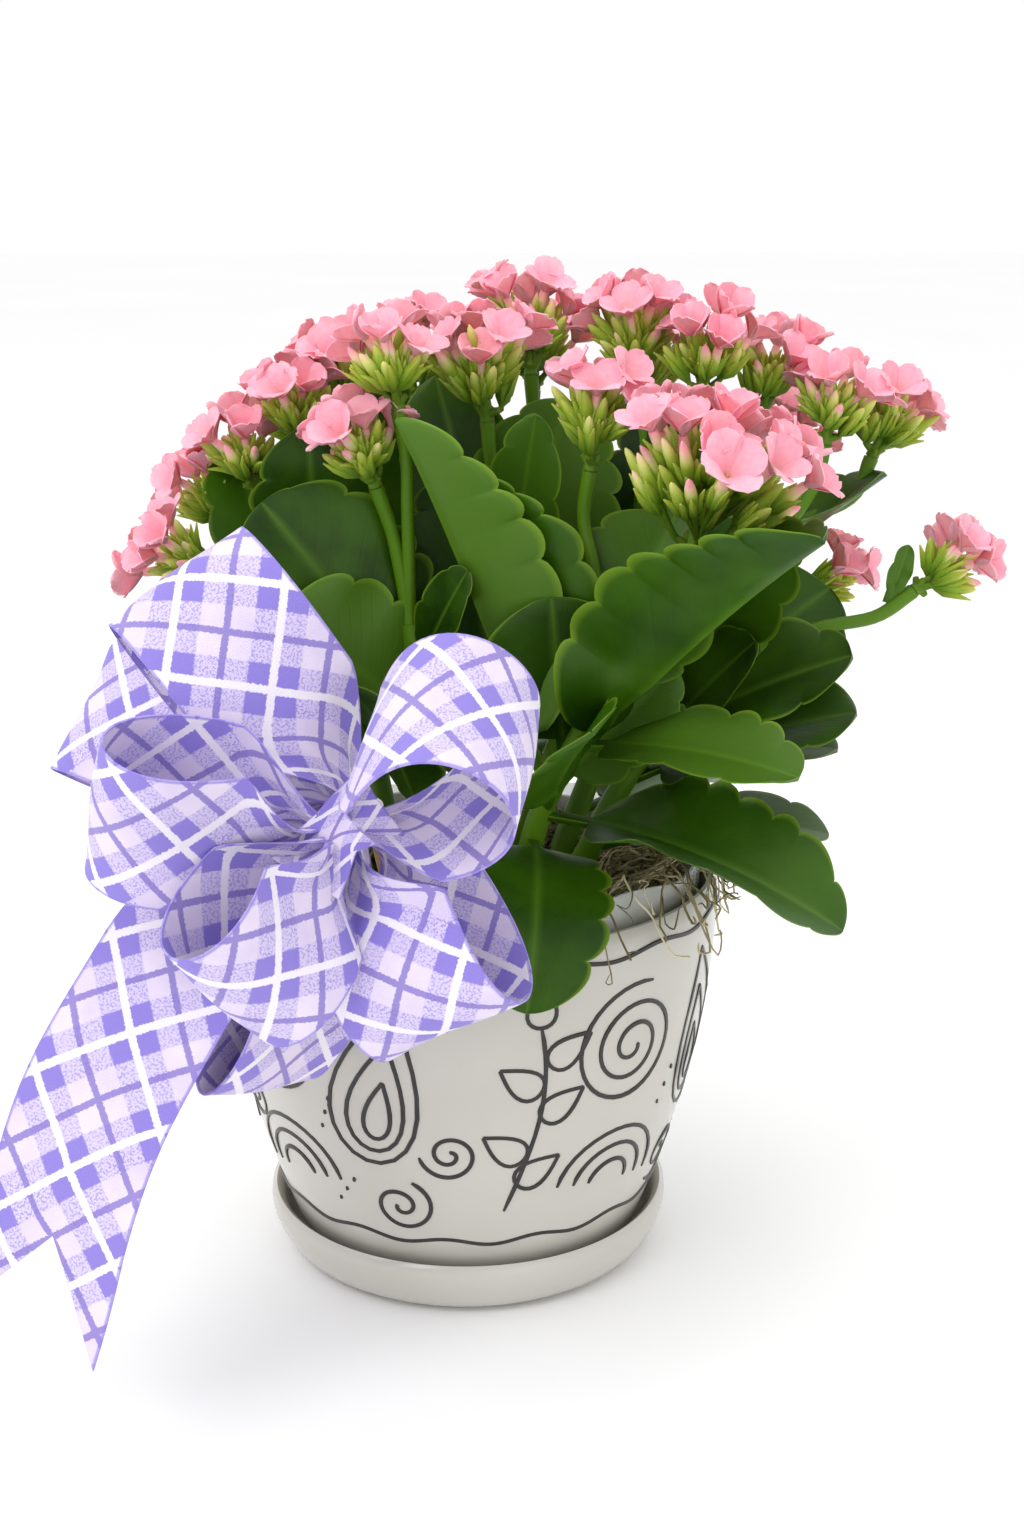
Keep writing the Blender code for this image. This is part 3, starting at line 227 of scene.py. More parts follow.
# The last loop runs on into the tail, as one piece
TAIL_LOOP = "bottom"
LOOP_START = 0.30
ROOT_PINCH, ROOT_TURN = 0.16, 0.75
OPEN_BY = 0.36
LOOP_SWELL = 0.65
TAIL_PATH = [
    (-0.0327, -0.0839, 0.1446), (-0.0450, -0.0817, 0.1405), (-0.0584, -0.0845, 0.1293),
    (-0.0717, -0.0942, 0.1122), (-0.0840, -0.1040, 0.0920), (-0.0930, -0.1110, 0.0700),
    (-0.1000, -0.1150, 0.0460),
]
TAIL_ACROSS = ((0.30, -0.30, 0.90), (0.80, -0.42, -0.42))
TAIL_POINT = 0.0130
# The ribbon's pass over the front of the tie, which belongs to one loop
TWIST_LOOP = "lower_front"
TWIST_PROUD, TWIST_LIFT, TWIST_REACH, TWIST_HALF = 0.0016, 0.0020, 0.0090, 0.0062
# Brush drawing on the pot
LINE_WIDTH, LINE_PROUD, LINE_SUNK = 0.0013, 0.00025, 0.0002
ART_COLUMNS, ART_START = 12, 0.16
ART_BANDS = (0.0225, 0.1045)
SPRIG_LEAF, SPRIG_TIP = 0.0135, 0.0125
DOT_STEP, DOT_HALF = 0.0050, 0.0004
# Camera, fitted to the photo: place, degrees down and to the right, lens and film height in mm
CAMERA_PLACE = (0.0, -0.5502, 0.2992)
CAMERA_DOWN, CAMERA_RIGHT = 16.4, 1.31
CAMERA_LENS, CAMERA_FILM = 49.15, 36.0


def polar(radius, angle, height=0.0):
    """The point at a radius from Z, an angle round it and a height."""
    return Vector((radius * math.cos(angle), radius * math.sin(angle), height))


def turned(profile, sides, lift=None):
    """A profile turned about Z. Points at radius 0 are poles, and lift raises a point by its angle."""
    points, rings = [], []
    for radius, height in profile:
        if radius == 0.0:
            rings.append([len(points)] * sides)
            points.append(Vector((0.0, 0.0, height)))
            continue
        rings.append(list(range(len(points), len(points) + sides)))
        for k in range(sides):
            angle = math.tau * k / sides
            points.append(polar(radius, angle, height + (lift(height, angle) if lift else 0.0)))
    faces = []
    closed = profile[0][0] != 0.0
    for low, high in zip(rings, rings[1:] + (rings[:1] if closed else [])):
        for k in range(sides):
            corners = [low[k], low[(k + 1) % sides], high[(k + 1) % sides], high[k]]
            faces.append(tuple(dict.fromkeys(corners)))
    return points, faces


def smooth_path(knots, count):
    """Points spaced evenly in parameter along a Catmull-Rom curve through the knots."""
    knots = [Vector(k) for k in knots]
    ends = [knots[0] * 2.0 - knots[1]] + knots + [knots[-1] * 2.0 - knots[-2]]
    found = []
    for i in range(count):
        place = i / (count - 1) * (len(knots) - 1)
        first = min(int(place), len(knots) - 2)
        t = place - first
        a, b, c, d = ends[first:first + 4]
        found.append(0.5 * (2.0 * b + (c - a) * t + (2.0 * a - 5.0 * b + 4.0 * c - d) * t * t
                            + (3.0 * b - a - 3.0 * c + d) * t ** 3))
    return found


def heading(path, i):
    """The direction of a path at one of its points."""
    return (path[min(i + 1, len(path) - 1)] - path[max(i - 1, 0)]).normalized()


def around(axis, angle):
    """The direction square to an axis at an angle round it."""
    side = axis.orthogonal().normalized()
    return side * math.cos(angle) + axis.cross(side) * math.sin(angle)


def tube(path, radii, sides):
    """A closed round bar along a path, with a flat cap at each end."""
    points, faces, side = [], [], None
    for i, centre in enumerate(path):
        ahead = heading(path, i)
        side = side or ahead.orthogonal()
        side = (side - ahead * side.dot(ahead)).normalized()
        other = ahead.cross(side)
        for k in range(sides):
            angle = math.tau * k / sides
            points.append(centre + (side * math.cos(angle) + other * math.sin(angle)) * radii[i])
    for i in range(len(path) - 1):
        for k in range(sides):
            a, b = i * sides + k, i * sides + (k + 1) % sides
            faces.append((a, b, b + sides, a + sides))
    faces.append(tuple(reversed(range(sides))))
    faces.append(tuple(range((len(path) - 1) * sides, len(path) * sides)))
    return points, faces


def strip_faces(rows, across):
    """The faces of a closed strip whose rows each hold their upper points and then their lower ones."""
    faces, step = [], 2 * across
    for a in range(0, (rows - 1) * step, step):
        b = a + step
        for k in range(across - 1):
            faces.append((a + k, a + k + 1, b + k + 1, b + k))
            faces.append((a + across + k + 1, a + across + k, b + across + k, b + across + k + 1))
        faces.append((a + across - 1, a + step - 1, b + step - 1, b + across - 1))
        faces.append((a + across, a, b, b + across))
    last = (rows - 1) * step
    for k in range(across - 1):
        faces.append((k + 1, k, across + k, across + k + 1))
        faces.append((last + k, last + k + 1, last + across + k + 1, last + across + k))
    return faces


class Piece:
    """A mesh in the making: points with a tone and a place on the surface, and faces."""

    def __init__(self):
        self.points, self.faces, self.tones, self.places = [], [], [], []

    def add(self, points, faces, tones=0.0, places=None):
        first = len(self.points)
        self.points += points
        self.faces += [tuple(first + n for n in face) for face in faces]
        self.tones += list(tones) if hasattr(tones, "__len__") else [tones] * len(points)
        self.places += places or [(0.0, 0.0)] * len(points)

    def bar(self, path, radii, sides, tones):
        """A round bar along a path with its own tone at each station."""
        points, faces = tube(path, radii, sides)
        self.add(points, faces, [tones[i // sides] for i in range(len(points))])

    def finish(self, name, finish, slot, replaced=(), angle=50.0):
        mesh = bpy.data.meshes.new(name)
        mesh.from_pydata([tuple(p) for p in self.points], [], self.faces)
        mesh.attributes.new("tone", "FLOAT", "POINT").data.foreach_set("value", self.tones)
        layer = mesh.uv_layers.new(name="place")
        layer.data.foreach_set("uv", [c for loop in mesh.loops for c in self.places[loop.vertex_index]])
        mesh.shade_smooth()
        mesh.set_sharp_from_angle(angle=math.radians(angle))
        mesh.materials.append(finish)
        made = bpy.data.objects.new(name, mesh)
        bpy.context.scene.collection.objects.link(made)
        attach(made, "root")
        if replaced:
            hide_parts(*replaced)
        return made


def packed_corners(name):
    """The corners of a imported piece, ready for looking up."""
    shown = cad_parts[name]
    corners = KDTree(len(shown.data.vertices))
    for corner in shown.data.vertices:
        corners.insert(shown.matrix_world @ corner.co, corner.index)
    corners.balance()
    return corners


def has_corner(corners, place):
    return corners.find(place)[2] < SAME_PLACE


def fine_profile(profile):
    """A turned profile with its long runs kept straight and its corners slightly rounded."""
    points = [Vector(p) for p in profile]
    for _ in range(3):
        cut = [points[0]]
        for a, b in zip(points, points[1:]):
            long = (b - a).length > PROFILE_STEP
            cut += [a.lerp(b, CORNER_CUT), a.lerp(b, 1.0 - CORNER_CUT)] if long else [(a + b) / 2]
        points = cut + [points[-1]]
    return [(p.x, p.y) for p in points]


def lip_lift(height, angle):
    """Ripples of the liner's lip, tallest at the right of the front."""
    if height < LINER_LIP - 0.0001:
        return 0.0
    swell = 0.5 + 0.5 * math.cos(angle + math.radians(25))
    return LIP_RIPPLE * swell * (1.0 + 0.6 * math.cos(7.0 * angle))


def make_pot(looks):
    for name, profile in (("saucer", SAUCER_PROFILE), ("pot", POT_PROFILE)):
        hollow = profile[0][0] > 0.0
        outline = fine_profile(profile + profile[:1] if hollow else profile)
        piece = Piece()
        piece.add(*turned(outline[:-1] if hollow else outline, POT_SIDES))
        piece.finish(name + "_glazed", looks["glaze"], "white_glaze", [name], 45.0)
    lip = (LINER_OUTSIDE[-1][0], LINER_LIP)
    inside = [(radius - LINER_WALL, height) for radius, height in [lip] + LINER_OUTSIDE[:0:-1]]
    foot_radius, foot = LINER_OUTSIDE[0]
    floor = [(foot_radius - LINER_WALL * 0.5, foot + LINER_WALL), (0.0, foot + LINER_WALL)]
    piece = Piece()
    piece.add(*turned([(0.0, foot)] + LINER_OUTSIDE + [lip] + inside + floor, POT_SIDES, lip_lift))
    piece.finish("liner_film", looks["film"], "clear_film", ["liner"], 45.0)


def wall_radius(height):
    """The pot's outer radius at a height."""
    for (r0, z0), (r1, z1) in zip(OUTER_WALL, OUTER_WALL[1:]):
        if z0 <= height <= z1:
            return r0 + (r1 - r0) * (height - z0) / (z1 - z0)
    return OUTER_WALL[-1][0]


def on_wall(turn, height):
    """A point on the pot's wall, and its outward direction."""
    return polar(wall_radius(height), turn, height), polar(1.0, turn)


def wall_line(piece, course, width=LINE_WIDTH):
    """A painted line along a course of (angle, height) on the wall, rounded across and at its ends."""
    spots = [on_wall(turn, height) for turn, height in course]
    middles = [spot for spot, _ in spots]
    points, count = [], len(spots)
    for i, (spot, out) in enumerate(spots):
        side = heading(middles, i).cross(out).normalized() * width * 0.5
        side *= 0.55 if i in (0, count - 1) else 1.0
        low, high = spot - out * LINE_SUNK, spot + out * LINE_PROUD
        points += [low - side, high - side * 0.8, high + side * 0.8, low + side]
    faces = []
    for i in range(count - 1):
        for k in range(4):
            a, b = i * 4 + k, i * 4 + (k + 1) % 4
            faces.append((a, a + 4, b + 4, b))
    faces += [(0, 1, 2, 3), tuple(4 * count - n for n in (1, 2, 3, 4))]
    piece.add(points, faces)


def course_at(middle, steps):
    """A course on the wall from steps sideways and up from a middle place."""
    radius = wall_radius(middle[1])
    return [(middle[0] + step[0] / radius, middle[1] + step[1]) for step in steps]


def curl(middle, size, turns, start, hand):
    """A spiral course."""
    count = round(34 * turns)
    steps = []
    for i in range(count + 1):
        angle = start + hand * turns * math.tau * i / count
        reach = size * (0.10 + 0.90 * i / count)
        steps.append(polar(reach, angle))
    return course_at(middle, steps)


def drop(middle, length, lean, fullness=0.42):
    """A teardrop course: pointed at one end and round at the other."""
    steps = []
    for i in range(25):
        angle = math.tau * i / 24
        along = length * 0.5 * math.cos(angle)
        side = length * fullness * math.sin(angle) * math.sin(angle / 2.0) ** 1.2
        steps.append((along * math.cos(lean) - side * math.sin(lean),
                      along * math.sin(lean) + side * math.cos(lean)))
    return course_at(middle, steps)


def sprig(piece, foot, height, sway, hand):
    """A curved stalk with teardrop leaves left and right and one at its end."""
    radius = wall_radius(foot[1] + height * 0.5)
    shares = [i / 14 for i in range(15)]
    course = [(foot[0] + hand * sway * math.sin(s * 2.2) / radius, foot[1] + height * s) for s in shares]
    wall_line(piece, course)
    for place, side in ((2, 1), (4, -1), (7, 1), (9, -1), (11, 1)):
        turn, level = course[place]
        middle = (turn + side * 0.0062 / radius, level + 0.0046)
        wall_line(piece, drop(middle, SPRIG_LEAF, math.pi / 2 - side * 0.95), LINE_WIDTH * 0.9)
    turn, level = course[-1]
    wall_line(piece, drop((turn, level + 0.0060), SPRIG_TIP, math.pi / 2), LINE_WIDTH * 0.9)


def arcs(piece, middle, size, lean):
    """Three half circles one inside another."""
    angles = [lean + math.pi * i / 16 for i in range(17)]
    for k in range(3):
        reach = size * (1.0 - 0.30 * k)
        wall_line(piece, course_at(middle, [polar(reach, angle) for angle in angles]))


def dots(piece, middle, lean):
    """Three dots in a row."""
    for away in (-DOT_STEP, 0.0, DOT_STEP):
        spot = polar(away, lean)
        wall_line(piece, course_at(middle, [(spot.x + x, spot.y) for x in (-DOT_HALF, 0.0, DOT_HALF)]),
                  LINE_WIDTH * 1.3)


def make_line_art(finish):
    """Brush drawing all round the pot: sprigs, spirals, drops, arcs and dots in turn."""
    rng = random.Random(21)
    piece = Piece()
    for k in range(ART_COLUMNS):
        turn = math.tau * k / ART_COLUMNS + ART_START
        hand = 1 if k % 2 else -1
        if k % 3 == 0:
            sprig(piece, (turn, 0.033), 0.056, 0.009, hand)
            wall_line(piece, curl((turn - hand * 0.24, 0.052), 0.0080, 1.7, rng.uniform(0, 6), -hand))
            dots(piece, (turn - hand * 0.22, 0.094), 0.5)
        elif k % 3 == 1:
            wall_line(piece, curl((turn, 0.078), 0.0180, 2.8, rng.uniform(0, 6), hand))
            arcs(piece, (turn, 0.036), 0.0165, 0.15 * hand)
            dots(piece, (turn + 0.27, 0.060), 1.2)
        else:
            for length, fullness in ((0.050, 0.34), (0.034, 0.32), (0.018, 0.28)):
                middle = (turn, 0.072 - (0.050 - length) * 0.25)
                wall_line(piece, drop(middle, length, math.pi / 2 + 0.22 * hand, fullness))
            wall_line(piece, curl((turn - hand * 0.05, 0.034), 0.0090, 1.7, rng.uniform(0, 6), -hand))
            dots(piece, (turn + hand * 0.22, 0.036), 0.9)
    turns = [math.tau * i / 240 for i in range(241)]
    for level in ART_BANDS:
        band = [(turn, level + 0.0009 * math.sin(turn * 14.0)) for turn in turns]
        wall_line(piece, band, LINE_WIDTH * 0.9)
    piece.finish("pot_line_art", finish, "white_glaze")


def wisp(piece, knots, radius, rng, wobble):
    """One dry strand: a thin bar along a wandering path."""
    count = 4 * len(knots)
    coarse = smooth_path(knots, count // 2)
    coarse = [p + Vector([rng.uniform(-wobble, wobble) for _ in range(3)]) for p in coarse]
    radii = [radius * (0.5 if i in (0, count - 1) else 1.0) for i in range(count)]
    piece.bar(smooth_path(coarse, count), radii, 4, [rng.random()] * count)


def make_moss(finish):
    rng = random.Random(31)
    piece = Piece()
    for _ in range(MOSS_WISPS):
        angle = rng.uniform(0.0, math.tau)
        knots = []
        for _ in range(4):
            radius = rng.uniform(MOSS_INNER - 0.002, MOSS_OUTER)
            swell = math.sin(math.pi * min(1.0, max(0.0, (radius - 0.036) / 0.030)))
            level = SOIL_TOP + 0.0008 + rng.uniform(0.0, 1.15) * MOSS_HEIGHT * (0.35 + 0.8 * swell)
            knots.append(polar(radius, angle, level))
            angle += rng.uniform(-0.16, 0.16)
        wisp(piece, knots, rng.uniform(*WISP_RADII), rng, WISP_WOBBLE)
    for _ in range(SPILL_WISPS):
        angle = math.radians(rng.triangular(*SPILL_ANGLES))
        sway = rng.uniform(-0.22, 0.22)
        reach, sag = rng.uniform(0.0705, 0.0820), rng.triangular(0.098, 0.1200, 0.116)
        end = (reach + rng.uniform(-0.002, 0.004), sag - rng.uniform(-0.004, 0.004))
        knots = []
        for n, (radius, level) in enumerate(SPILL_COURSE + [(reach, sag), end]):
            turn = angle + sway * n / 5.0 + rng.uniform(-0.05, 0.05)
            knots.append(polar(radius, turn, level + rng.uniform(-0.0015, 0.0025)))
        wisp(piece, knots, rng.uniform(*SPILL_RADII), rng, SPILL_WOBBLE)
    piece.finish("moss_wisps", finish, "moss", ["moss"])


def loop_stations(way, across, length, depth, along_tie, off, count):
    """One bow loop: out from the tie and back, gathered narrow and turned edge on at its root."""
    way = Vector(way).normalized()
    wide = Vector(across)
    wide = (wide - way * wide.dot(way)).normalized()
    pinched = BOW_AXIS * math.copysign(ROOT_TURN, BOW_AXIS.dot(wide)) + wide * (1.0 - ROOT_TURN)
    pinched = (pinched - way * pinched.dot(way)).normalized()
    start = BOW_CENTRE + BOW_AXIS * along_tie * TIE_HALF + way * off
    stations = []
    for i in range(count):
        angle = LOOP_START + (math.tau - 2.0 * LOOP_START) * i / (count - 1)
        out = length * (math.cos(LOOP_START) - math.cos(angle)) / 2.0
        up = depth * LOOP_SWELL * math.sin(angle) * math.sin(angle / 2.0)
        opened = min(1.0, out / (OPEN_BY * length))
        across = pinched.slerp(wide, opened)
        centre = start + way * out + across.cross(way) * up
        d_out = length * math.sin(angle) / 2.0
        d_up = depth * LOOP_SWELL * (math.cos(angle) * math.sin(angle / 2.0)
                                     + 0.5 * math.sin(angle) * math.cos(angle / 2.0))
        ahead = (way * d_out + across.cross(way) * d_up).normalized()
        spread = ROOT_PINCH + (1.0 - ROOT_PINCH) * opened
        stations.append((centre, across, RIBBON_HALF * spread, across.cross(ahead)))
    return stations


def path_stations(path, widths, acrosses):
    """The stations of a ribbon along a path: centre, way across, half width and outward normal."""
    stations = []
    for i, centre in enumerate(path):
        ahead = heading(path, i)
        across = (acrosses[i] - ahead * acrosses[i].dot(ahead)).normalized()
        stations.append((centre, across, widths[i], across.cross(ahead)))
    return stations


def tail_stations(count):
    first, last = (Vector(v).normalized() for v in TAIL_ACROSS)
    shares = [i / (count - 1) for i in range(count)]
    acrosses = [first.lerp(last, min(1.0, share * 2.2)) for share in shares]
    spreads = [min(1.0, ROOT_PINCH + (1.0 - ROOT_PINCH) * share * 3.5) for share in shares]
    return path_stations(smooth_path(TAIL_PATH, count), [RIBBON_HALF * s for s in spreads], acrosses)


def twist_stations(count):
    """The ribbon's pass over the front of the tie, from the upper right loop to the lower front one."""
    knots = [BOW_CENTRE + BOW_AXIS * (TIE_HALF + TWIST_PROUD)]
    for name, place in (("upper_right", 0), (TWIST_LOOP, 2)):
        way, _, _, _, along_tie, off = LOOPS[name]
        start = BOW_CENTRE + BOW_AXIS * (along_tie * TIE_HALF + TWIST_LIFT)
        knots.insert(place, start + Vector(way).normalized() * (off + TWIST_REACH))
    path = smooth_path(knots, count)
    widths = [TWIST_HALF * (1.0 + 0.45 * abs(2.0 * i / (count - 1) - 1.0)) for i in range(count)]
    return path_stations(path, widths, [heading(path, i).cross(BOW_AXIS) for i in range(count)])


def ribbon_strip(piece, stations, gathered, end_notch=0.0, seed=0):
    """A thin cloth strip from stations, pleated where it is gathered. Returns its length."""
    rng = random.Random(seed)
    phase, count, run = rng.uniform(0.0, 6.0), len(stations), 0.0
    columns = [k / RIBBON_ACROSS for k in range(-RIBBON_ACROSS, RIBBON_ACROSS + 1)]
    centres = [station[0] for station in stations]
    points, places = [], []
    for i, (centre, across, half, normal) in enumerate(stations):
        ahead = heading(centres, i)
        run += (centre - centres[i - 1]).length if i else 0.0
        tightness = gathered * (1.0 - min(1.0, half / RIBBON_HALF))
        loose = min(1.0, 2.0 * (1.0 - tightness) - 0.6)
        upper = []
        for v in columns:
            pleat = PLEAT_DEPTH * tightness * math.sin(v * 9.0 + phase)
            sway = 0.0006 * math.sin(v * 2.6 + phase + run * 130.0) * loose
            cut = end_notch * (2.0 * abs(v) - 1.0) * (i / (count - 1)) ** 3
            upper.append(centre + across * half * v + normal * (pleat + sway) + ahead * cut)
            places.append((v * RIBBON_HALF, run + cut))
        places += places[-len(columns):]
        body = normal * RIBBON_THICKNESS * 0.5
        points += [p + body for p in upper] + [p - body for p in upper]
    piece.add(points, strip_faces(count, len(columns)), 0.0, places)
    return run


def make_tie(finish):
    """The bound middle of the bow: a bar with pleats that run along it."""
    shares = [2.0 * i / (TIE_STATIONS - 1) - 1.0 for i in range(TIE_STATIONS)]
    path = [BOW_CENTRE + BOW_AXIS * TIE_HALF * share for share in shares]
    points, faces = tube(path, [TIE_RADIUS * (0.90 + 0.08 * abs(s) ** 3) for s in shares], TIE_SIDES)
    pleated, places = [], []
    for i, p in enumerate(points):
        row, k = divmod(i, TIE_SIDES)
        swell = 1.0 + TIE_PLEAT_DEPTH * math.sin(math.tau * k * TIE_PLEATS / TIE_SIDES)
        pleated.append(path[row] + (p - path[row]) * swell)
        places.append(((row - 8) * 0.0018, k * 0.0007))
    piece = Piece()
    piece.add(pleated, faces, 0.0, places)
    piece.finish("ribbon_tie", finish, "ribbon", ["bow_tie"], 60.0)


def make_bow(finish):
    for number, (name, shape) in enumerate(LOOPS.items()):
        piece = Piece()
        length = ribbon_strip(piece, loop_stations(*shape, RIBBON_STATIONS), 1.0, 0.0, number)
        if name == TWIST_LOOP:
            length += ribbon_strip(piece, twist_stations(RIBBON_STATIONS // 2), 0.0, 0.0, 8)
        if name == TAIL_LOOP:
            length += ribbon_strip(piece, tail_stations(RIBBON_STATIONS), 1.0, TAIL_POINT, 9)
            made = piece.finish("ribbon_tail", finish, "ribbon", ["bow_tail"], 60.0)
        else:
            made = piece.finish("ribbon_" + name, finish, "ribbon", ["bow_loop_" + name], 60.0)
    make_tie(finish)


def stem_path(name, count):
    (x, y), knee, fork = STEMS[name]
    rise = smooth_path([(x, y, SOIL_TOP + 0.003), knee, fork], count)
    return [Vector((x, y, STEM_FOOT))] + rise


def stem_point(name, height):
    """The point on a stem's middle line at this height."""
    path = stem_path(name, 9)
    for low, high in zip(path, path[1:]):
        if low.z <= height <= high.z:
            return low.lerp(high, (height - low.z) / (high.z - low.z))
    return path[-1]


def stalk_path(stem, base, top):
    """The flower stalk from the stem's fork to just under its head, arriving along the head's axis."""
    fork = Vector(STEMS[stem][2])
    base, axis = Vector(base), (Vector(top) - Vector(base)).normalized()
    length = (base - fork).length
    under = base - axis * min(0.012, length * 0.3)
    middle = fork.lerp(under, 0.5) + UP * 0.04 * length
    return smooth_path([fork - UP * 0.002, middle, under], 4) + [base - axis * SEAT_GAP]


def leaf_nudges(reach):
    """Small moves of a leaf's tip, the smallest first."""
    rng = random.Random(3)
    yield Vector((0.0, 0.0, 0.0))
    for ring in range(1, 9):
        for _ in range(8):
            way = Vector([rng.uniform(-1.0, 1.0) for _ in range(3)])
            yield way * reach * ring / 8.0


def settled_leaf(corners, root, tip, width, face, fold, arch, reach):
    """The leaf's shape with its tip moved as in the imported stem, or nothing where the part left it out."""
    for nudge in leaf_nudges(reach):
        if has_corner(corners, tip + nudge):
            return [(root, tip + nudge, width, face, fold, arch)]
    return []


def hand_leaves(leaves, corners, wanted):
    for stem, height, tip, width, face, *bend in wanted:
        shape = (stem_point(stem, height), Vector(tip), width, Vector(face), *bend)
        leaves[stem] += settled_leaf(corners[stem], *shape, HAND_REACH)


def fill_leaves(corners, stem):
    """Opposite pairs of leaves up a stem, each a quarter turn on from the last, over one outward leaf."""
    rng = random.Random("fill " + stem)
    spot = STEMS[stem][0]
    outward = math.atan2(spot[1], spot[0])
    made = []
    for level, height in enumerate(FILL_LEVELS):
        for turn in (0, 1):
            angle = outward + math.pi * turn + math.pi / 2 * level + rng.uniform(-0.3, 0.3)
            rise = math.radians(FILL_RISES[level] + rng.uniform(-6.0, 6.0))
            length = FILL_LENGTHS[level] * rng.uniform(0.9, 1.1)
            if math.cos(angle - outward) < -0.5:
                length, rise = length * 0.8, rise + 0.35
            if level == 0 and turn == 1:
                continue
            out, root = polar(1.0, angle), stem_point(stem, height)
            tip = root + (out * math.cos(rise) + UP * math.sin(rise)) * length
            face = UP * math.cos(rise) - out * math.sin(rise)
            shape = (root, tip, length * FILL_WIDTH, face, FILL_FOLD, FILL_ARCH)
            made += settled_leaf(corners, *shape, FILL_REACH)
    return made


def leaf_shapes():
    """The shapes of all leaves by stem."""
    leaves = {name: [] for name in STEMS}
    corners = {name: packed_corners("leafy_stem_" + name) for name in STEMS}
    hand_leaves(leaves, corners, LEAVES[:-LAST_LEAVES])
    for stem, root, tip, width in BRACTS:
        leaves[stem].append((Vector(root), Vector(tip), width, Vector((0.0, -1.0, 0.3)), 20.0, 0.0))
    for stem in FILL_STEMS:
        leaves[stem] += fill_leaves(corners[stem], stem)
    hand_leaves(leaves, corners, LEAVES[-LAST_LEAVES:])
    return leaves


def blade_half(u, width):
    """Half width of a blade at a share u of its length: widest past the middle, blunt at the tip."""
    return 0.5 * width * math.sqrt(max(0.0, 1.0 - abs(2.0 * u ** 0.9 - 1.0) ** 2.3))


def notch_places(start, length, rng):
    """Where the notches between the teeth lie along one edge, as shares of the blade's length."""
    places = [start]
    while places[-1] < 1.0:
        places.append(places[-1] + TOOTH_LENGTH * rng.uniform(0.65, 1.30) / length)
    return places


def tooth_wave(notches, u):
    """How far a tooth swells at a share of the blade's length: none at its notches, most between them."""
    below = max(place for place in notches if place <= u)
    above = min(place for place in notches if place > u)
    return math.sin(math.pi * (u - below) / (above - below)) ** 0.6


def leaf_rows(notches):
    """Where the rows of a leaf lie, as shares of its length: closer at the tip, and one at each notch."""
    rows = {1.0 - (1.0 - i / LEAF_LENGTHWISE) ** TIP_ROWS for i in range(LEAF_LENGTHWISE + 1)}
    rows |= {place for edge in notches for place in edge if 0.1 < place < 0.97}
    stalk = [LEAF_STALK * i / STALK_ROWS for i in range(STALK_ROWS)]
    return stalk + [LEAF_STALK + (1.0 - LEAF_STALK) * u for u in sorted(rows)]


def fine_leaf(piece, root, tip, width, face, fold, arch, seed):
    """A fleshy leaf on a short stalk, folded up along its midrib, with rounded teeth."""
    rng = random.Random(seed)
    span = tip - root
    upward = (face - span * face.dot(span) / span.length_squared).normalized()
    bend = root + span * 0.5 + upward * arch * span.length
    starts = [rng.uniform(-0.15, -0.05), rng.uniform(-0.05, 0.0)]
    sway, phase = rng.uniform(*LEAF_RIPPLE), rng.uniform(0.0, 6.0)
    tone = 0.85 * rng.random()
    notches = [notch_places(start, span.length * (1.0 - LEAF_STALK), rng) for start in starts]
    columns = [k / LEAF_ACROSS for k in range(-LEAF_ACROSS, LEAF_ACROSS + 1)]
    rows = leaf_rows(notches)
    points, places = [], []
    for t in rows:
        centre = root * (1.0 - t) ** 2 + bend * 2.0 * t * (1.0 - t) + tip * t * t
        ahead = ((bend - root) * (1.0 - t) + (tip - bend) * t).normalized()
        normal = (upward - ahead * upward.dot(ahead)).normalized()
        side = ahead.cross(normal)
        u = max(0.0, (t - LEAF_STALK) / (1.0 - LEAF_STALK))
        slope = math.radians(fold) * min(1.0, u * 4.0) * (1.0 - 0.5 * u ** 3)
        plain_half = blade_half(u, width)
        cut = min(TOOTH_DEPTH, 0.20 * plain_half) * min(1.0, max(0.0, (u - 0.12) / 0.12))
        body = (LEAF_BODY if u > 0.05 else LEAF_BODY * 1.5) * (1.0 - 0.45 * u)
        upper, lower = [], []
        for v in columns:
            toothed = plain_half + cut * (tooth_wave(notches[v > 0], u) - TOOTH_MIDDLE) * abs(v) ** 1.5
            half = max(toothed, STALK_HALF * 0.85 * (1.0 - u) ** 0.3, 0.0003)
            lift = half * (math.sqrt(v * v + FOLD_SOFTNESS) - math.sqrt(FOLD_SOFTNESS)) * math.sin(slope)
            lift += sway * math.sin(math.tau * u * 2.3 + phase + 2.0 * (v > 0)) * v * v * min(1.0, u * 3)
            lift -= GROOVE_DEPTH * math.exp(-(v / GROOVE_WIDTH) ** 2) * min(1.0, u * 6) * (1.0 - u)
            top = centre + side * half * v * math.cos(slope) + normal * lift
            thick = body * math.sqrt(max(0.0, 1.0 - abs(v) ** 3)) / math.cos(slope) + LEAF_EDGE
            upper.append(top - normal * 0.18 * body * abs(v) ** 4)
            lower.append(top - normal * thick)
            places.append((v, u))
        places += places[-len(columns):]
        points += upper + lower
    piece.add(points, strip_faces(len(rows), len(columns)), tone, places)


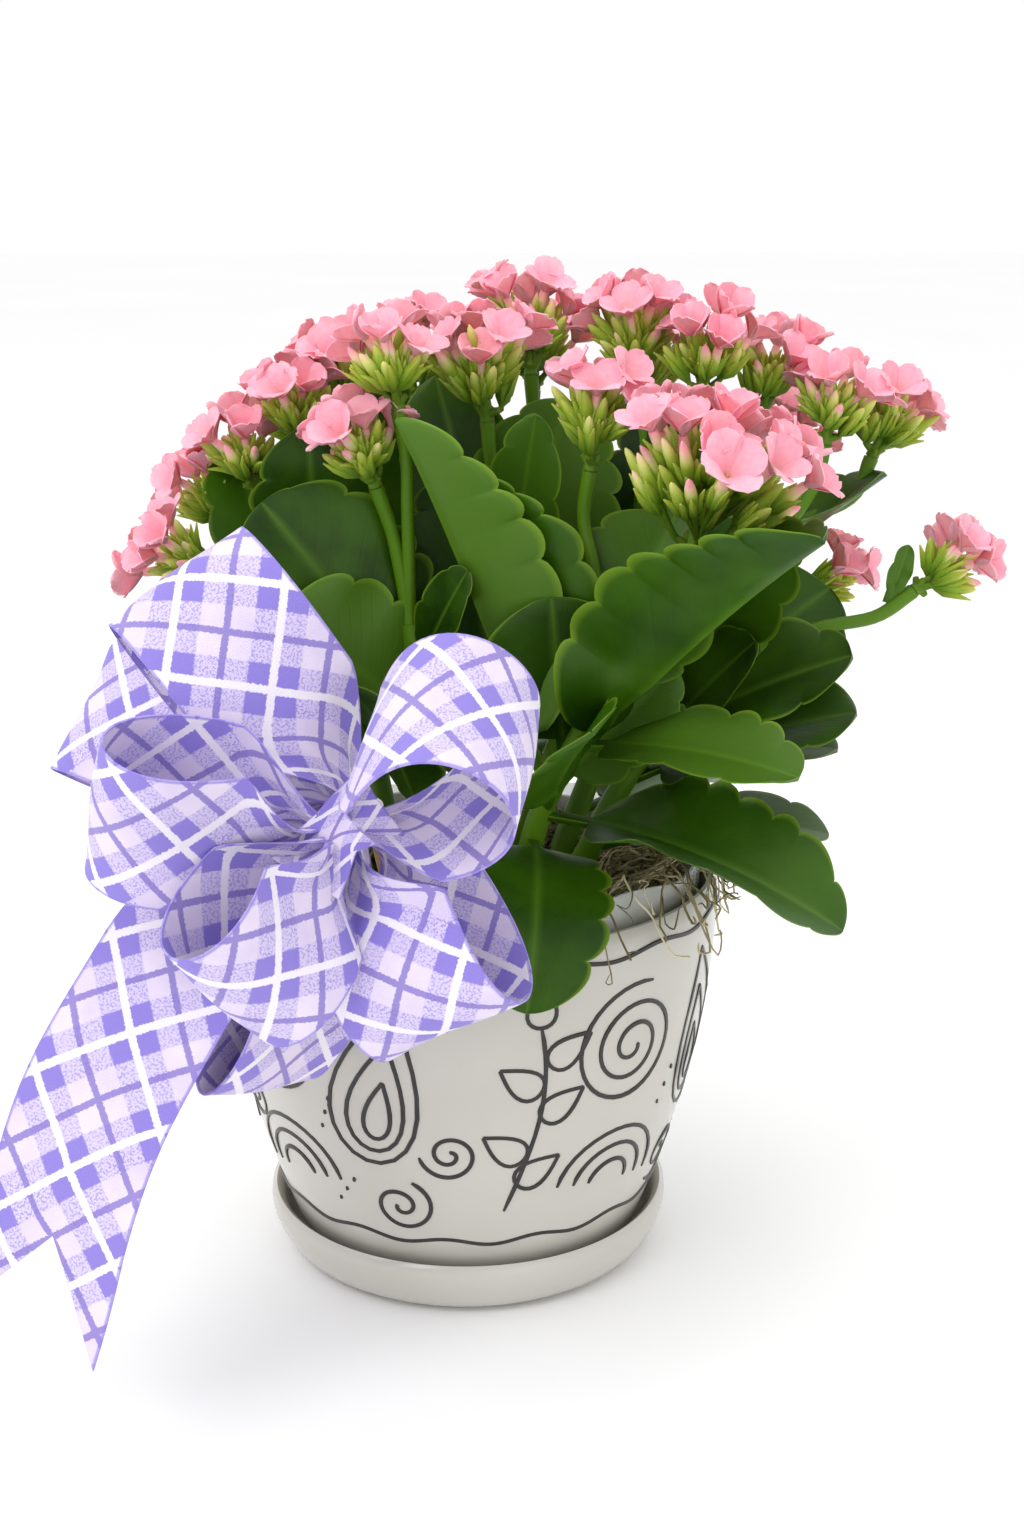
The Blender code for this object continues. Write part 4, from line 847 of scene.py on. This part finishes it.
def make_stems(finish):
    """Each stem with its flower stalks and leaves."""
    bars = {}
    for name in STEMS:
        bars[name] = [(stem_path(name, 5), [STEM_RADIUS * r for r in (1.0, 1.0, 1.0, 0.9, 0.85, 0.8)])]
    for stem, base, top, *_ in HEADS:
        radii = [STALK_RADIUS * r for r in (1.15, 1.0, 1.0, 1.0, 1.2)]
        bars[stem].append((stalk_path(stem, base, top), radii))
    leaves = leaf_shapes()
    for number, name in enumerate(STEMS):
        piece = Piece()
        for path, radii in bars[name]:
            places = [i / (STEM_STATIONS - 1) * (len(radii) - 1) for i in range(STEM_STATIONS)]
            nexts = radii[1:] + radii[-1:]
            widths = [radii[int(p)] + (nexts[int(p)] - radii[int(p)]) * (p % 1.0) for p in places]
            points, faces = tube(smooth_path(path, STEM_STATIONS), widths, STEM_SIDES)
            piece.add(points, faces, 1.0, [(0.5, 0.5)] * len(points))
        for k, shape in enumerate(leaves[name]):
            fine_leaf(piece, *shape, LEAF_SEED + 100 * number + k)
        piece.finish("leaves_" + name, finish, "leaf", ["leafy_stem_" + name], 70.0)


def petal(piece, throat, axis, out, length, width, curl_out, tone):
    """One petal: narrow at the throat, broad and round at its end, flaring as it goes out."""
    side = axis.cross(out)
    points, tones, angle, spot = [], [], PETAL_START, throat + out * 0.0006
    for i in range(PETAL_ROWS):
        s = i / (PETAL_ROWS - 1)
        if s < PETAL_BROADEST:
            share = 0.20 + 0.80 * math.sin(math.pi / 2 * s / PETAL_BROADEST)
        else:
            share = math.sqrt(1.0 - ((s - PETAL_BROADEST) / (1.03 - PETAL_BROADEST)) ** 2)
        way = axis * math.cos(angle) + out * math.sin(angle)
        up = axis * math.sin(angle) - out * math.cos(angle)
        for layer in (0.0, -PETAL_BODY):
            for v in PETAL_COLUMNS:
                cup = PETAL_HOLLOW * width * v * v * (1.0 - 0.8 * s)
                cup += PETAL_RUFFLE * math.sin(v * 5.0 + tone * 40.0) * s
                points.append(spot + side * width * 0.5 * share * v + up * (cup + layer))
                tones.append(tone + 0.05 * (abs(v) - 0.5) - 0.30 * (1.0 - s) ** 2)
        spot = spot + way * length / (PETAL_ROWS - 1)
        angle += curl_out / (PETAL_ROWS - 1)
    piece.add(points, strip_faces(PETAL_ROWS, len(PETAL_COLUMNS)), tones)


def stalk_and_sepals(piece, root, base, axis, size, rng):
    """The green stalk of a flower or bud, arriving along its axis, and four sepals round its foot."""
    middle = root.lerp(base, 0.5) - axis * 0.12 * (base - root).length
    piece.bar(smooth_path([root, middle, base], 5), [0.0009, 0.0008, 0.0007, 0.0008, 0.0010], 6, [0.07] * 5)
    turn = rng.uniform(0.0, 1.5)
    for k in range(4):
        out = around(axis, turn + math.pi / 2 * k)
        reach, tall = rng.uniform(0.0018, 0.0036), rng.uniform(0.0075, 0.0100) * size
        path = [base + out * away + axis * share * tall
                for away, share in ((0.0004, 0.0), (0.0014, 0.28), (0.0019, 0.62), (reach, 1.0))]
        piece.bar(path, [0.0006, 0.0012, 0.0009, 0.0002], 5, [0.06, 0.10, 0.17, 0.24])


def fine_flower(piece, root, centre, facing, size, rng):
    """An open flower: stalk, calyx, tube and four petals that flare from a small throat."""
    lean = (centre - root).normalized()
    facing = (facing + lean * 0.35).normalized()
    axis = (facing * 0.5 + lean * 0.7).normalized()
    throat = centre - facing * FLOWER_CUP * size
    calyx = throat - axis * min(FLOWER_TUBE * size, (throat - root).length * 0.85)
    stalk_and_sepals(piece, root, calyx, axis, size, rng)
    path = [calyx.lerp(throat, s) for s in (0.0, 0.25, 0.5, 0.75, 1.0)]
    radii = [0.0011, 0.0019, 0.0018, 0.0014, 0.0012]
    piece.bar(path, [r * size for r in radii], 8, [0.08, 0.13, 0.22, 0.42, 0.62])
    turn = rng.uniform(0.0, 1.5)
    flare = rng.choice((rng.uniform(0.1, 0.6), rng.uniform(0.5, 1.2)))
    for k in range(4):
        out = around(facing, turn + math.pi / 2 * k + rng.uniform(-0.12, 0.12))
        length = PETAL_LENGTH * size * rng.uniform(0.92, 1.06)
        width = PETAL_WIDTH * size * rng.uniform(0.9, 1.08)
        curl_out = flare + rng.uniform(-0.35, 0.35)
        petal(piece, throat, facing, out, length, width, curl_out, rng.uniform(0.78, 1.0))
    piece.bar([throat, throat + facing * 0.0012], [0.0006, 0.0002], 5, [0.35, 0.30])


def fine_bud(piece, root, tip, rng):
    """A closed bud: stalk, calyx and a slim spindle whose tip starts to colour."""
    axis = (tip - root).normalized()
    calyx = tip - axis * min(rng.uniform(0.0120, 0.0170), (tip - root).length * 0.90)
    stalk_and_sepals(piece, root, calyx, axis, rng.uniform(0.9, 1.15), rng)
    blush = rng.choice((0.0, 0.0, 0.05, 0.1, 0.15, 0.3, 0.7))
    path = [calyx.lerp(tip, s) for s in (0.0, 0.22, 0.5, 0.75, 0.92, 1.0)]
    tones = [0.07, 0.11, 0.16, 0.2 + blush * 0.3, 0.24 + blush * 0.55, 0.26 + blush * 0.7]
    piece.bar(path, [0.0009, 0.0015, 0.0017, 0.0013, 0.0008, 0.0002], 7, tones)


def packed_places(seed, corners, base, top, spread, flowers, buds):
    """Those open flowers and buds that one run of the part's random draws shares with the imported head."""
    rng = random.Random(seed)
    rise = top - base
    axis = rise.normalized()
    opened, tips = {}, []

    def radial(k, sway):
        return around(axis, math.tau * (k + 0.5) / CORE_SIDES + rng.uniform(-sway, sway))

    full = flowers > 4
    upper = [(2, k) for k in ((0, 3, 1, 4, 2, 5) if full else (0, 2, 4, 1, 3, 5))]
    for face in ([TOP_FACE] if full else []) + upper:
        if len(opened) == flowers:
            break
        for _ in range(12):
            out = radial(face[1], 0.25)
            lean = 0.0 if face == TOP_FACE else 1.0
            reach = lean * max(0.0, spread - 0.45 * FLORET_RADIUS) * rng.uniform(0.80, 1.05)
            centre = base + rise * (rng.uniform(0.90, 1.14) + 0.18 * (1.0 - lean)) + out * reach
            facing = (axis + out * lean * rng.uniform(0.6, 1.2)).normalized()
            # The part draws the turn of the petals here
            rng.random()
            if has_corner(corners, centre - facing * HEART_DEPTH):
                opened[face] = (centre, facing)
                break
    for face in [(row, k) for row in (1, 2, 0) for k in range(CORE_SIDES) if (row, k) not in opened]:
        if len(tips) == buds:
            break
        for _ in range(10):
            out = radial(face[1], 0.3)
            tip = base + rise * (rng.uniform(0.62, 1.0) + 0.08 * (face[0] - 1))
            tip += out * spread * rng.uniform(0.62, 0.95)
            if has_corner(corners, tip):
                tips.append(tip)
                break
    return list(opened.values()), tips


def bloom_places(rng, number, base, top, spread, flowers, buds):
    """The open flowers and the bud tips of a head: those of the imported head, and more between them."""
    corners = packed_corners(f"flower_head_{number:02d}")
    rise = top - base
    axis = rise.normalized()
    for attempt in range(1, HEAD_PLANS + 1):
        opened, tips = packed_places(100 * attempt + number, corners, base, top, spread, flowers, buds)
        if opened:
            break
    loose = axis.z < LOOSE_LEAN
    all_flowers = round(flowers * (LOOSE_FLOWERS if loose else MORE_FLOWERS)) + 1
    all_buds = round(buds * (LOOSE_BUDS if loose else MORE_BUDS))
    for _ in range(300):
        if len(opened) >= all_flowers:
            break
        radial, share = around(axis, rng.uniform(0.0, math.tau)), rng.uniform(0.0, 1.0)
        level = rng.uniform(0.96, 1.10) if share < 0.6 else rng.uniform(0.78, 1.06)
        centre = base + rise * level + radial * spread * 1.02 * math.sqrt(share)
        if all((centre - old).length > FLOWER_APART for old, _ in opened):
            opened.append((centre, (axis + radial * share * 0.9).normalized()))
    for _ in range(500):
        if len(tips) >= all_buds:
            break
        radial, share = around(axis, rng.uniform(0.0, math.tau)), rng.uniform(0.25, 1.0)
        tip = base + rise * (rng.uniform(0.66, 1.04) - 0.10 * share) + radial * spread * share
        near_flower = any((tip - old).length < BUD_FROM_FLOWER for old, _ in opened)
        if not near_flower and all((tip - old).length > BUD_APART for old in tips):
            tips.append(tip)
    return opened, tips


def make_head(number, base, top, spread, flowers, buds, finish):
    """A flower head: a short stalk that forks, and flowers and buds each on the nearest fork."""
    rng = random.Random(500 + number)
    piece = Piece()
    rise = top - base
    size = 1.0 if spread > 0.020 else 0.90
    opened, tips = bloom_places(rng, number, base, top, spread, flowers, buds)
    forks = []
    for k in range(5):
        out = around(rise.normalized(), math.tau * k / 5 + rng.uniform(-0.3, 0.3)) * spread
        fork = base + rise * rng.uniform(0.10, 0.24) + out * rng.uniform(0.16, 0.30)
        forks.append(fork)
        branch = smooth_path([base, base + rise * 0.08 + out * 0.06, fork], 6)
        piece.bar(branch, [0.0016, 0.0014, 0.0012, 0.0011, 0.0010, 0.0008], 7, [0.06] * 6)
    piece.bar([base, base + rise * 0.30], [0.0019, 0.0012], 8, [0.05, 0.07])
    forks.append(base + rise * 0.28)
    for centre, facing in opened:
        root = min(forks, key=lambda fork: (fork - centre).length)
        fine_flower(piece, root, centre, facing, size * rng.uniform(0.94, 1.06), rng)
    for tip in tips:
        fine_bud(piece, min(forks, key=lambda fork: (fork - tip).length), tip, rng)
    piece.finish(f"blooms_{number:02d}", finish, "flower", [f"flower_head_{number:02d}"], 60.0)


def linear(red, green, blue):
    """A colour given as screen values from 0 to 255, as the shader's linear colour."""
    return tuple((c / 255.0) ** 2.2 for c in (red, green, blue)) + (1.0,)


class Look:
    """A material and short ways to add nodes to it."""

    def __init__(self, name, roughness, **sockets):
        self.material = bpy.data.materials.new(name)
        self.material.use_nodes = True
        self.tree = self.material.node_tree
        self.shader = self.tree.nodes["Principled BSDF"]
        self.shader.inputs["Roughness"].default_value = roughness
        for socket, value in sockets.items():
            self.shader.inputs[socket.replace("_", " ")].default_value = value

    def node(self, kind, links=(), **settings):
        made = self.tree.nodes.new("ShaderNode" + kind)
        for key, value in settings.items():
            setattr(made, key, value)
        for socket, source in dict(links).items():
            if hasattr(source, "is_linked"):
                self.tree.links.new(source, made.inputs[socket])
            else:
                made.inputs[socket].default_value = source
        return made.outputs

    def math(self, operation, *values):
        return self.node("Math", dict(enumerate(values)), operation=operation)[0]

    def blend(self, share, first, second, kind="MIX"):
        """Two colours mixed by a share."""
        return self.node("MixRGB", {0: share, 1: first, 2: second}, blend_type=kind)[0]

    def ramp(self, value, stops):
        out = self.node("ValToRGB", {0: value})
        steps = out[0].node.color_ramp.elements
        steps.remove(steps[1])
        for number, (place, colour) in enumerate(stops):
            step = steps.new(place) if number else steps[0]
            step.position = place
            step.color = colour if len(colour) == 4 else linear(*colour)
        return out[0]

    def grey_ramp(self, value, stops):
        return self.ramp(value, [(place, (grey, grey, grey, 1.0)) for place, grey in stops])

    def noise(self, scale, detail=3.0, where=None):
        place = where or self.node("NewGeometry")["Position"]
        return self.node("TexNoise", {"Vector": place, "Scale": scale, "Detail": detail})[0]

    def tone(self):
        return self.node("Attribute", attribute_name="tone")["Fac"]

    def place(self):
        """The piece's own surface coordinates, as two numbers and as one vector."""
        vector = self.node("UVMap", uv_map="place")[0]
        parts = self.node("SeparateXYZ", {0: vector})
        return parts[0], parts[1], vector

    def colour(self, source):
        self.tree.links.new(source, self.shader.inputs["Base Color"])

    def bump(self, height, distance, strength=1.0):
        links = {"Height": height, "Distance": distance, "Strength": strength}
        self.tree.links.new(self.node("Bump", links)[0], self.shader.inputs["Normal"])


def plain_look(name, roughness, grain, stops, bump=None, **sockets):
    """A surface coloured by a noise of (scale, detail). The bump adds its distance and strength."""
    look = Look(name, roughness, **sockets)
    look.colour(look.ramp(look.noise(*grain), stops))
    if bump:
        look.bump(look.noise(*bump[:2]), *bump[2:])
    return look.material


def leaf_look():
    look = Look("leaf_surface", 0.40, Specular_IOR_Level=0.22)
    across, along, _ = look.place()
    greens = [(0.0, (25, 50, 3)), (0.42, (37, 68, 4)), (0.66, (50, 86, 12)), (0.85, (80, 114, 38)),
              (0.95, (88, 126, 26))]
    deep = look.ramp(look.tone(), greens)
    patches = look.grey_ramp(look.noise(45.0), [(0.35, 0.0), (0.7, 0.55)])
    mottled = look.blend(patches, deep, linear(72, 112, 20))
    size = look.math("ABSOLUTE", across)
    # Painted highlight: the leaf's edge is mixed towards light green, as where light catches the rim
    margin = look.grey_ramp(size, [(0.91, 0.0), (0.98, 0.5), (1.0, 0.7)])
    rim_highlighted = look.blend(margin, mottled, linear(124, 158, 44))
    rib = look.grey_ramp(size, [(0.0, 0.45), (0.05, 0.2), (0.11, 0.0)])
    look.colour(look.blend(rib, rim_highlighted, linear(96, 136, 40)))
    slant = look.math("MULTIPLY_ADD", size, -4.0, look.math("MULTIPLY", along, 11.0))
    vein = look.grey_ramp(look.math("PINGPONG", slant, 0.5), [(0.0, 0.0), (0.14, 1.0)])
    grain = look.math("MULTIPLY", look.noise(110.0), 0.6)
    look.bump(look.math("MULTIPLY_ADD", vein, 0.10, grain), 0.0005, 0.4)
    return look.material


def flower_look():
    settings = {"Specular_IOR_Level": 0.3, "Subsurface_Weight": 0.25, "Subsurface_Scale": 0.003}
    look = Look("flower_surface", 0.62, **settings)
    green_to_pink = [(0.0, (58, 94, 14)), (0.10, (106, 142, 22)), (0.20, (150, 176, 46)),
                     (0.32, (204, 210, 116)), (0.46, (238, 200, 168)), (0.62, (250, 162, 172)),
                     (0.84, (251, 162, 182)), (1.0, (253, 186, 203))]
    base = look.ramp(look.tone(), green_to_pink)
    streaks = look.ramp(look.noise(700.0), [(0.3, (255, 220, 228)), (0.7, (206, 116, 130))])
    look.colour(look.blend(look.math("MULTIPLY", look.tone(), 0.14), base, streaks))
    look.bump(look.noise(1800.0, 2.0), 0.0002, 0.3)
    return look.material


def ribbon_look():
    """A plaid on the bias: four squares at the crossings, white lines through them, fine lines between."""
    look = Look("ribbon_weave", 0.72, Specular_IOR_Level=0.25, Sheen_Weight=0.15)
    across, along, vector = look.place()
    bands, gaps, fines = [], [], []
    for sign in ("ADD", "SUBTRACT"):
        slanted = look.math("MULTIPLY", look.math(sign, along, across), 0.7071 / PLAID_PITCH)
        slanted = look.math("MULTIPLY_ADD", look.noise(30.0, 1.0, vector), 0.05, slanted)
        fuzz = look.math("MULTIPLY_ADD", look.noise(1500.0, 1.0, vector), 0.06, -0.03)
        place = look.math("MULTIPLY_ADD", look.math("PINGPONG", slanted, 0.5), 2.0, fuzz)
        bands.append(look.grey_ramp(place, [(0.07, 0.0), (0.09, 1.0), (0.48, 1.0), (0.51, 0.0)]))
        gaps.append(look.grey_ramp(place, [(0.068, 1.0), (0.084, 0.0)]))
        fines.append(look.grey_ramp(place, [(0.925, 0.0), (0.94, 1.0)]))
    wash = look.grey_ramp(look.noise(60.0, 2.0, vector), [(0.35, 0.0), (0.7, 1.0)])
    speckle = look.grey_ramp(look.noise(1700.0, 3.0, vector), [(0.50, 0.0), (0.56, 1.0)])
    ground = look.blend(wash, linear(226, 215, 234), linear(208, 195, 226))
    thin = look.math("MULTIPLY", speckle, look.math("MULTIPLY_ADD", wash, 0.35, 0.55))
    single = look.blend(thin, linear(208, 196, 228), linear(152, 137, 210))
    pattern = look.blend(look.math("MAXIMUM", *bands), ground, single)
    pattern = look.blend(look.math("MINIMUM", *bands), pattern, linear(138, 124, 206))
    fine = look.math("MULTIPLY", look.math("MAXIMUM", *fines), 0.85)
    pattern = look.blend(fine, pattern, linear(128, 112, 190))
    pattern = look.blend(look.math("MAXIMUM", *gaps), pattern, linear(234, 228, 237))
    margin = look.math("DIVIDE", look.math("ABSOLUTE", across), RIBBON_HALF)
    edge = look.grey_ramp(margin, [(0.955, 0.0), (0.98, 0.75)])
    look.colour(look.blend(edge, pattern, linear(138, 122, 206)))
    weave = {"Vector": vector, "Scale": 620.0}
    threads = [look.node("TexWave", weave, bands_direction=way)[0] for way in "XY"]
    wrinkle = look.math("MULTIPLY", look.noise(70.0, 2.0, vector), 3.0)
    look.bump(look.math("MULTIPLY_ADD", look.math("ADD", *threads), 0.12, wrinkle), 0.0006, 0.4)
    return look.material


def moss_look():
    look = Look("moss_strands", 0.9, Specular_IOR_Level=0.2)
    patches = look.math("MULTIPLY", look.noise(220.0), 0.35)
    shade = look.math("MULTIPLY_ADD", look.tone(), 0.65, patches)
    straw = [(0.1, (84, 76, 52)), (0.42, (148, 136, 100)), (0.68, (192, 180, 144)), (0.95, (218, 210, 182))]
    look.colour(look.ramp(shade, straw))
    look.bump(look.noise(900.0), 0.0003, 0.6)
    return look.material


def pot_looks():
    return {
        # Glaze of pot and saucer: its own off-white, darkened to a grey that paints the shade under the
        # plant
        "glaze": plain_look("glaze", 0.24, (18.0, 3.0), [(0.3, (184, 181, 173)), (0.7, (193, 190, 182))],
                            (60.0, 2.0, 0.0003, 0.15), Coat_Weight=0.35, Coat_Roughness=0.12),
        "line": plain_look("glaze_line", 0.34, (300.0, 3.0), [(0.3, (30, 29, 26)), (0.7, (44, 42, 38))]),
        "film": plain_look("film", 0.12, (50.0, 3.0), [(0.3, (226, 228, 224)), (0.7, (240, 242, 238))],
                           (120.0, 3.0, 0.0010, 0.6), Alpha=0.35, Specular_IOR_Level=0.6),
        "soil": plain_look("soil_grain", 0.95, (350.0, 6.0),
                           [(0.35, (26, 20, 15)), (0.55, (58, 46, 36)), (0.75, (92, 78, 62))],
                           (400.0, 6.0, 0.0015, 1.0)),
        "wood": plain_look("pick_grain", 0.7, (260.0, 3.0), [(0.3, (150, 112, 70)), (0.7, (186, 148, 100))],
                           (500.0, 3.0, 0.0003, 0.4)),
    }


def light(name, place, aim, size, power):
    data = bpy.data.lights.new(name, "AREA")
    data.shape = "DISK"
    data.size = size
    data.energy = power
    made = bpy.data.objects.new(name, data)
    made.location = place
    made.rotation_euler = (Vector(aim) - Vector(place)).to_track_quat("-Z", "Y").to_euler()
    bpy.context.scene.collection.objects.link(made)


def make_studio():
    mesh = bpy.data.meshes.new("studio_floor")
    mesh.from_pydata([(-6, -6, 0), (6, -6, 0), (6, 6, 0), (-6, 6, 0)], [], [(0, 1, 2, 3)])
    white = [(0.3, (252, 252, 252)), (0.7, (254, 254, 254))]
    mesh.materials.append(plain_look("studio_paper", 0.8, (2.0, 3.0), white))
    floor = bpy.data.objects.new("studio_floor", mesh)
    floor.location.z = -0.0002
    bpy.context.scene.collection.objects.link(floor)
    floor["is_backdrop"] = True
    world = bpy.data.worlds.new("studio_air")
    world.use_nodes = True
    air = world.node_tree.nodes["Background"].inputs
    air["Color"].default_value = (1.0, 1.0, 1.0, 1.0)
    air["Strength"].default_value = 1.0
    bpy.context.scene.world = world
    light("key_light", (-0.70, -0.75, 1.05), (0.0, 0.0, 0.13), 0.75, 6.0)
    light("top_light", (0.15, 0.25, 1.25), (0.0, 0.0, 0.15), 0.9, 3.0)
    light("front_fill", (0.55, -1.05, 0.45), (0.0, 0.0, 0.12), 0.8, 1.0)
    camera = bpy.data.cameras.new("photo_view")
    camera.sensor_fit = "VERTICAL"
    camera.sensor_height = CAMERA_FILM
    camera.lens = CAMERA_LENS
    camera.clip_start = 0.01
    eye = bpy.data.objects.new("photo_view", camera)
    eye.location = CAMERA_PLACE
    eye.rotation_euler = (math.radians(90.0 - CAMERA_DOWN), 0.0, math.radians(-CAMERA_RIGHT))
    bpy.context.scene.collection.objects.link(eye)
    bpy.context.scene.camera = eye
    bpy.context.scene.view_settings.view_transform = "Standard"


def dress(name, finish):
    """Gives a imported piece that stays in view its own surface."""
    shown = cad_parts[name]
    shown.data.materials.clear()
    shown.data.materials.append(finish)


def main():
    looks = pot_looks()
    make_pot(looks)
    make_line_art(looks["line"])
    make_moss(moss_look())
    make_bow(ribbon_look())
    pink = flower_look()
    for number, (_, base, top, *plan) in enumerate(HEADS, 1):
        make_head(number, Vector(base), Vector(top), *plan, pink)
    make_stems(leaf_look())
    dress("soil", looks["soil"])
    dress("bow_pick", looks["wood"])
    make_studio()


main()
boxes = {"cad": CAD_BOUNDS, "visual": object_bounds()}
{name: [list(corner) for corner in pair] for name, pair in boxes.items()}
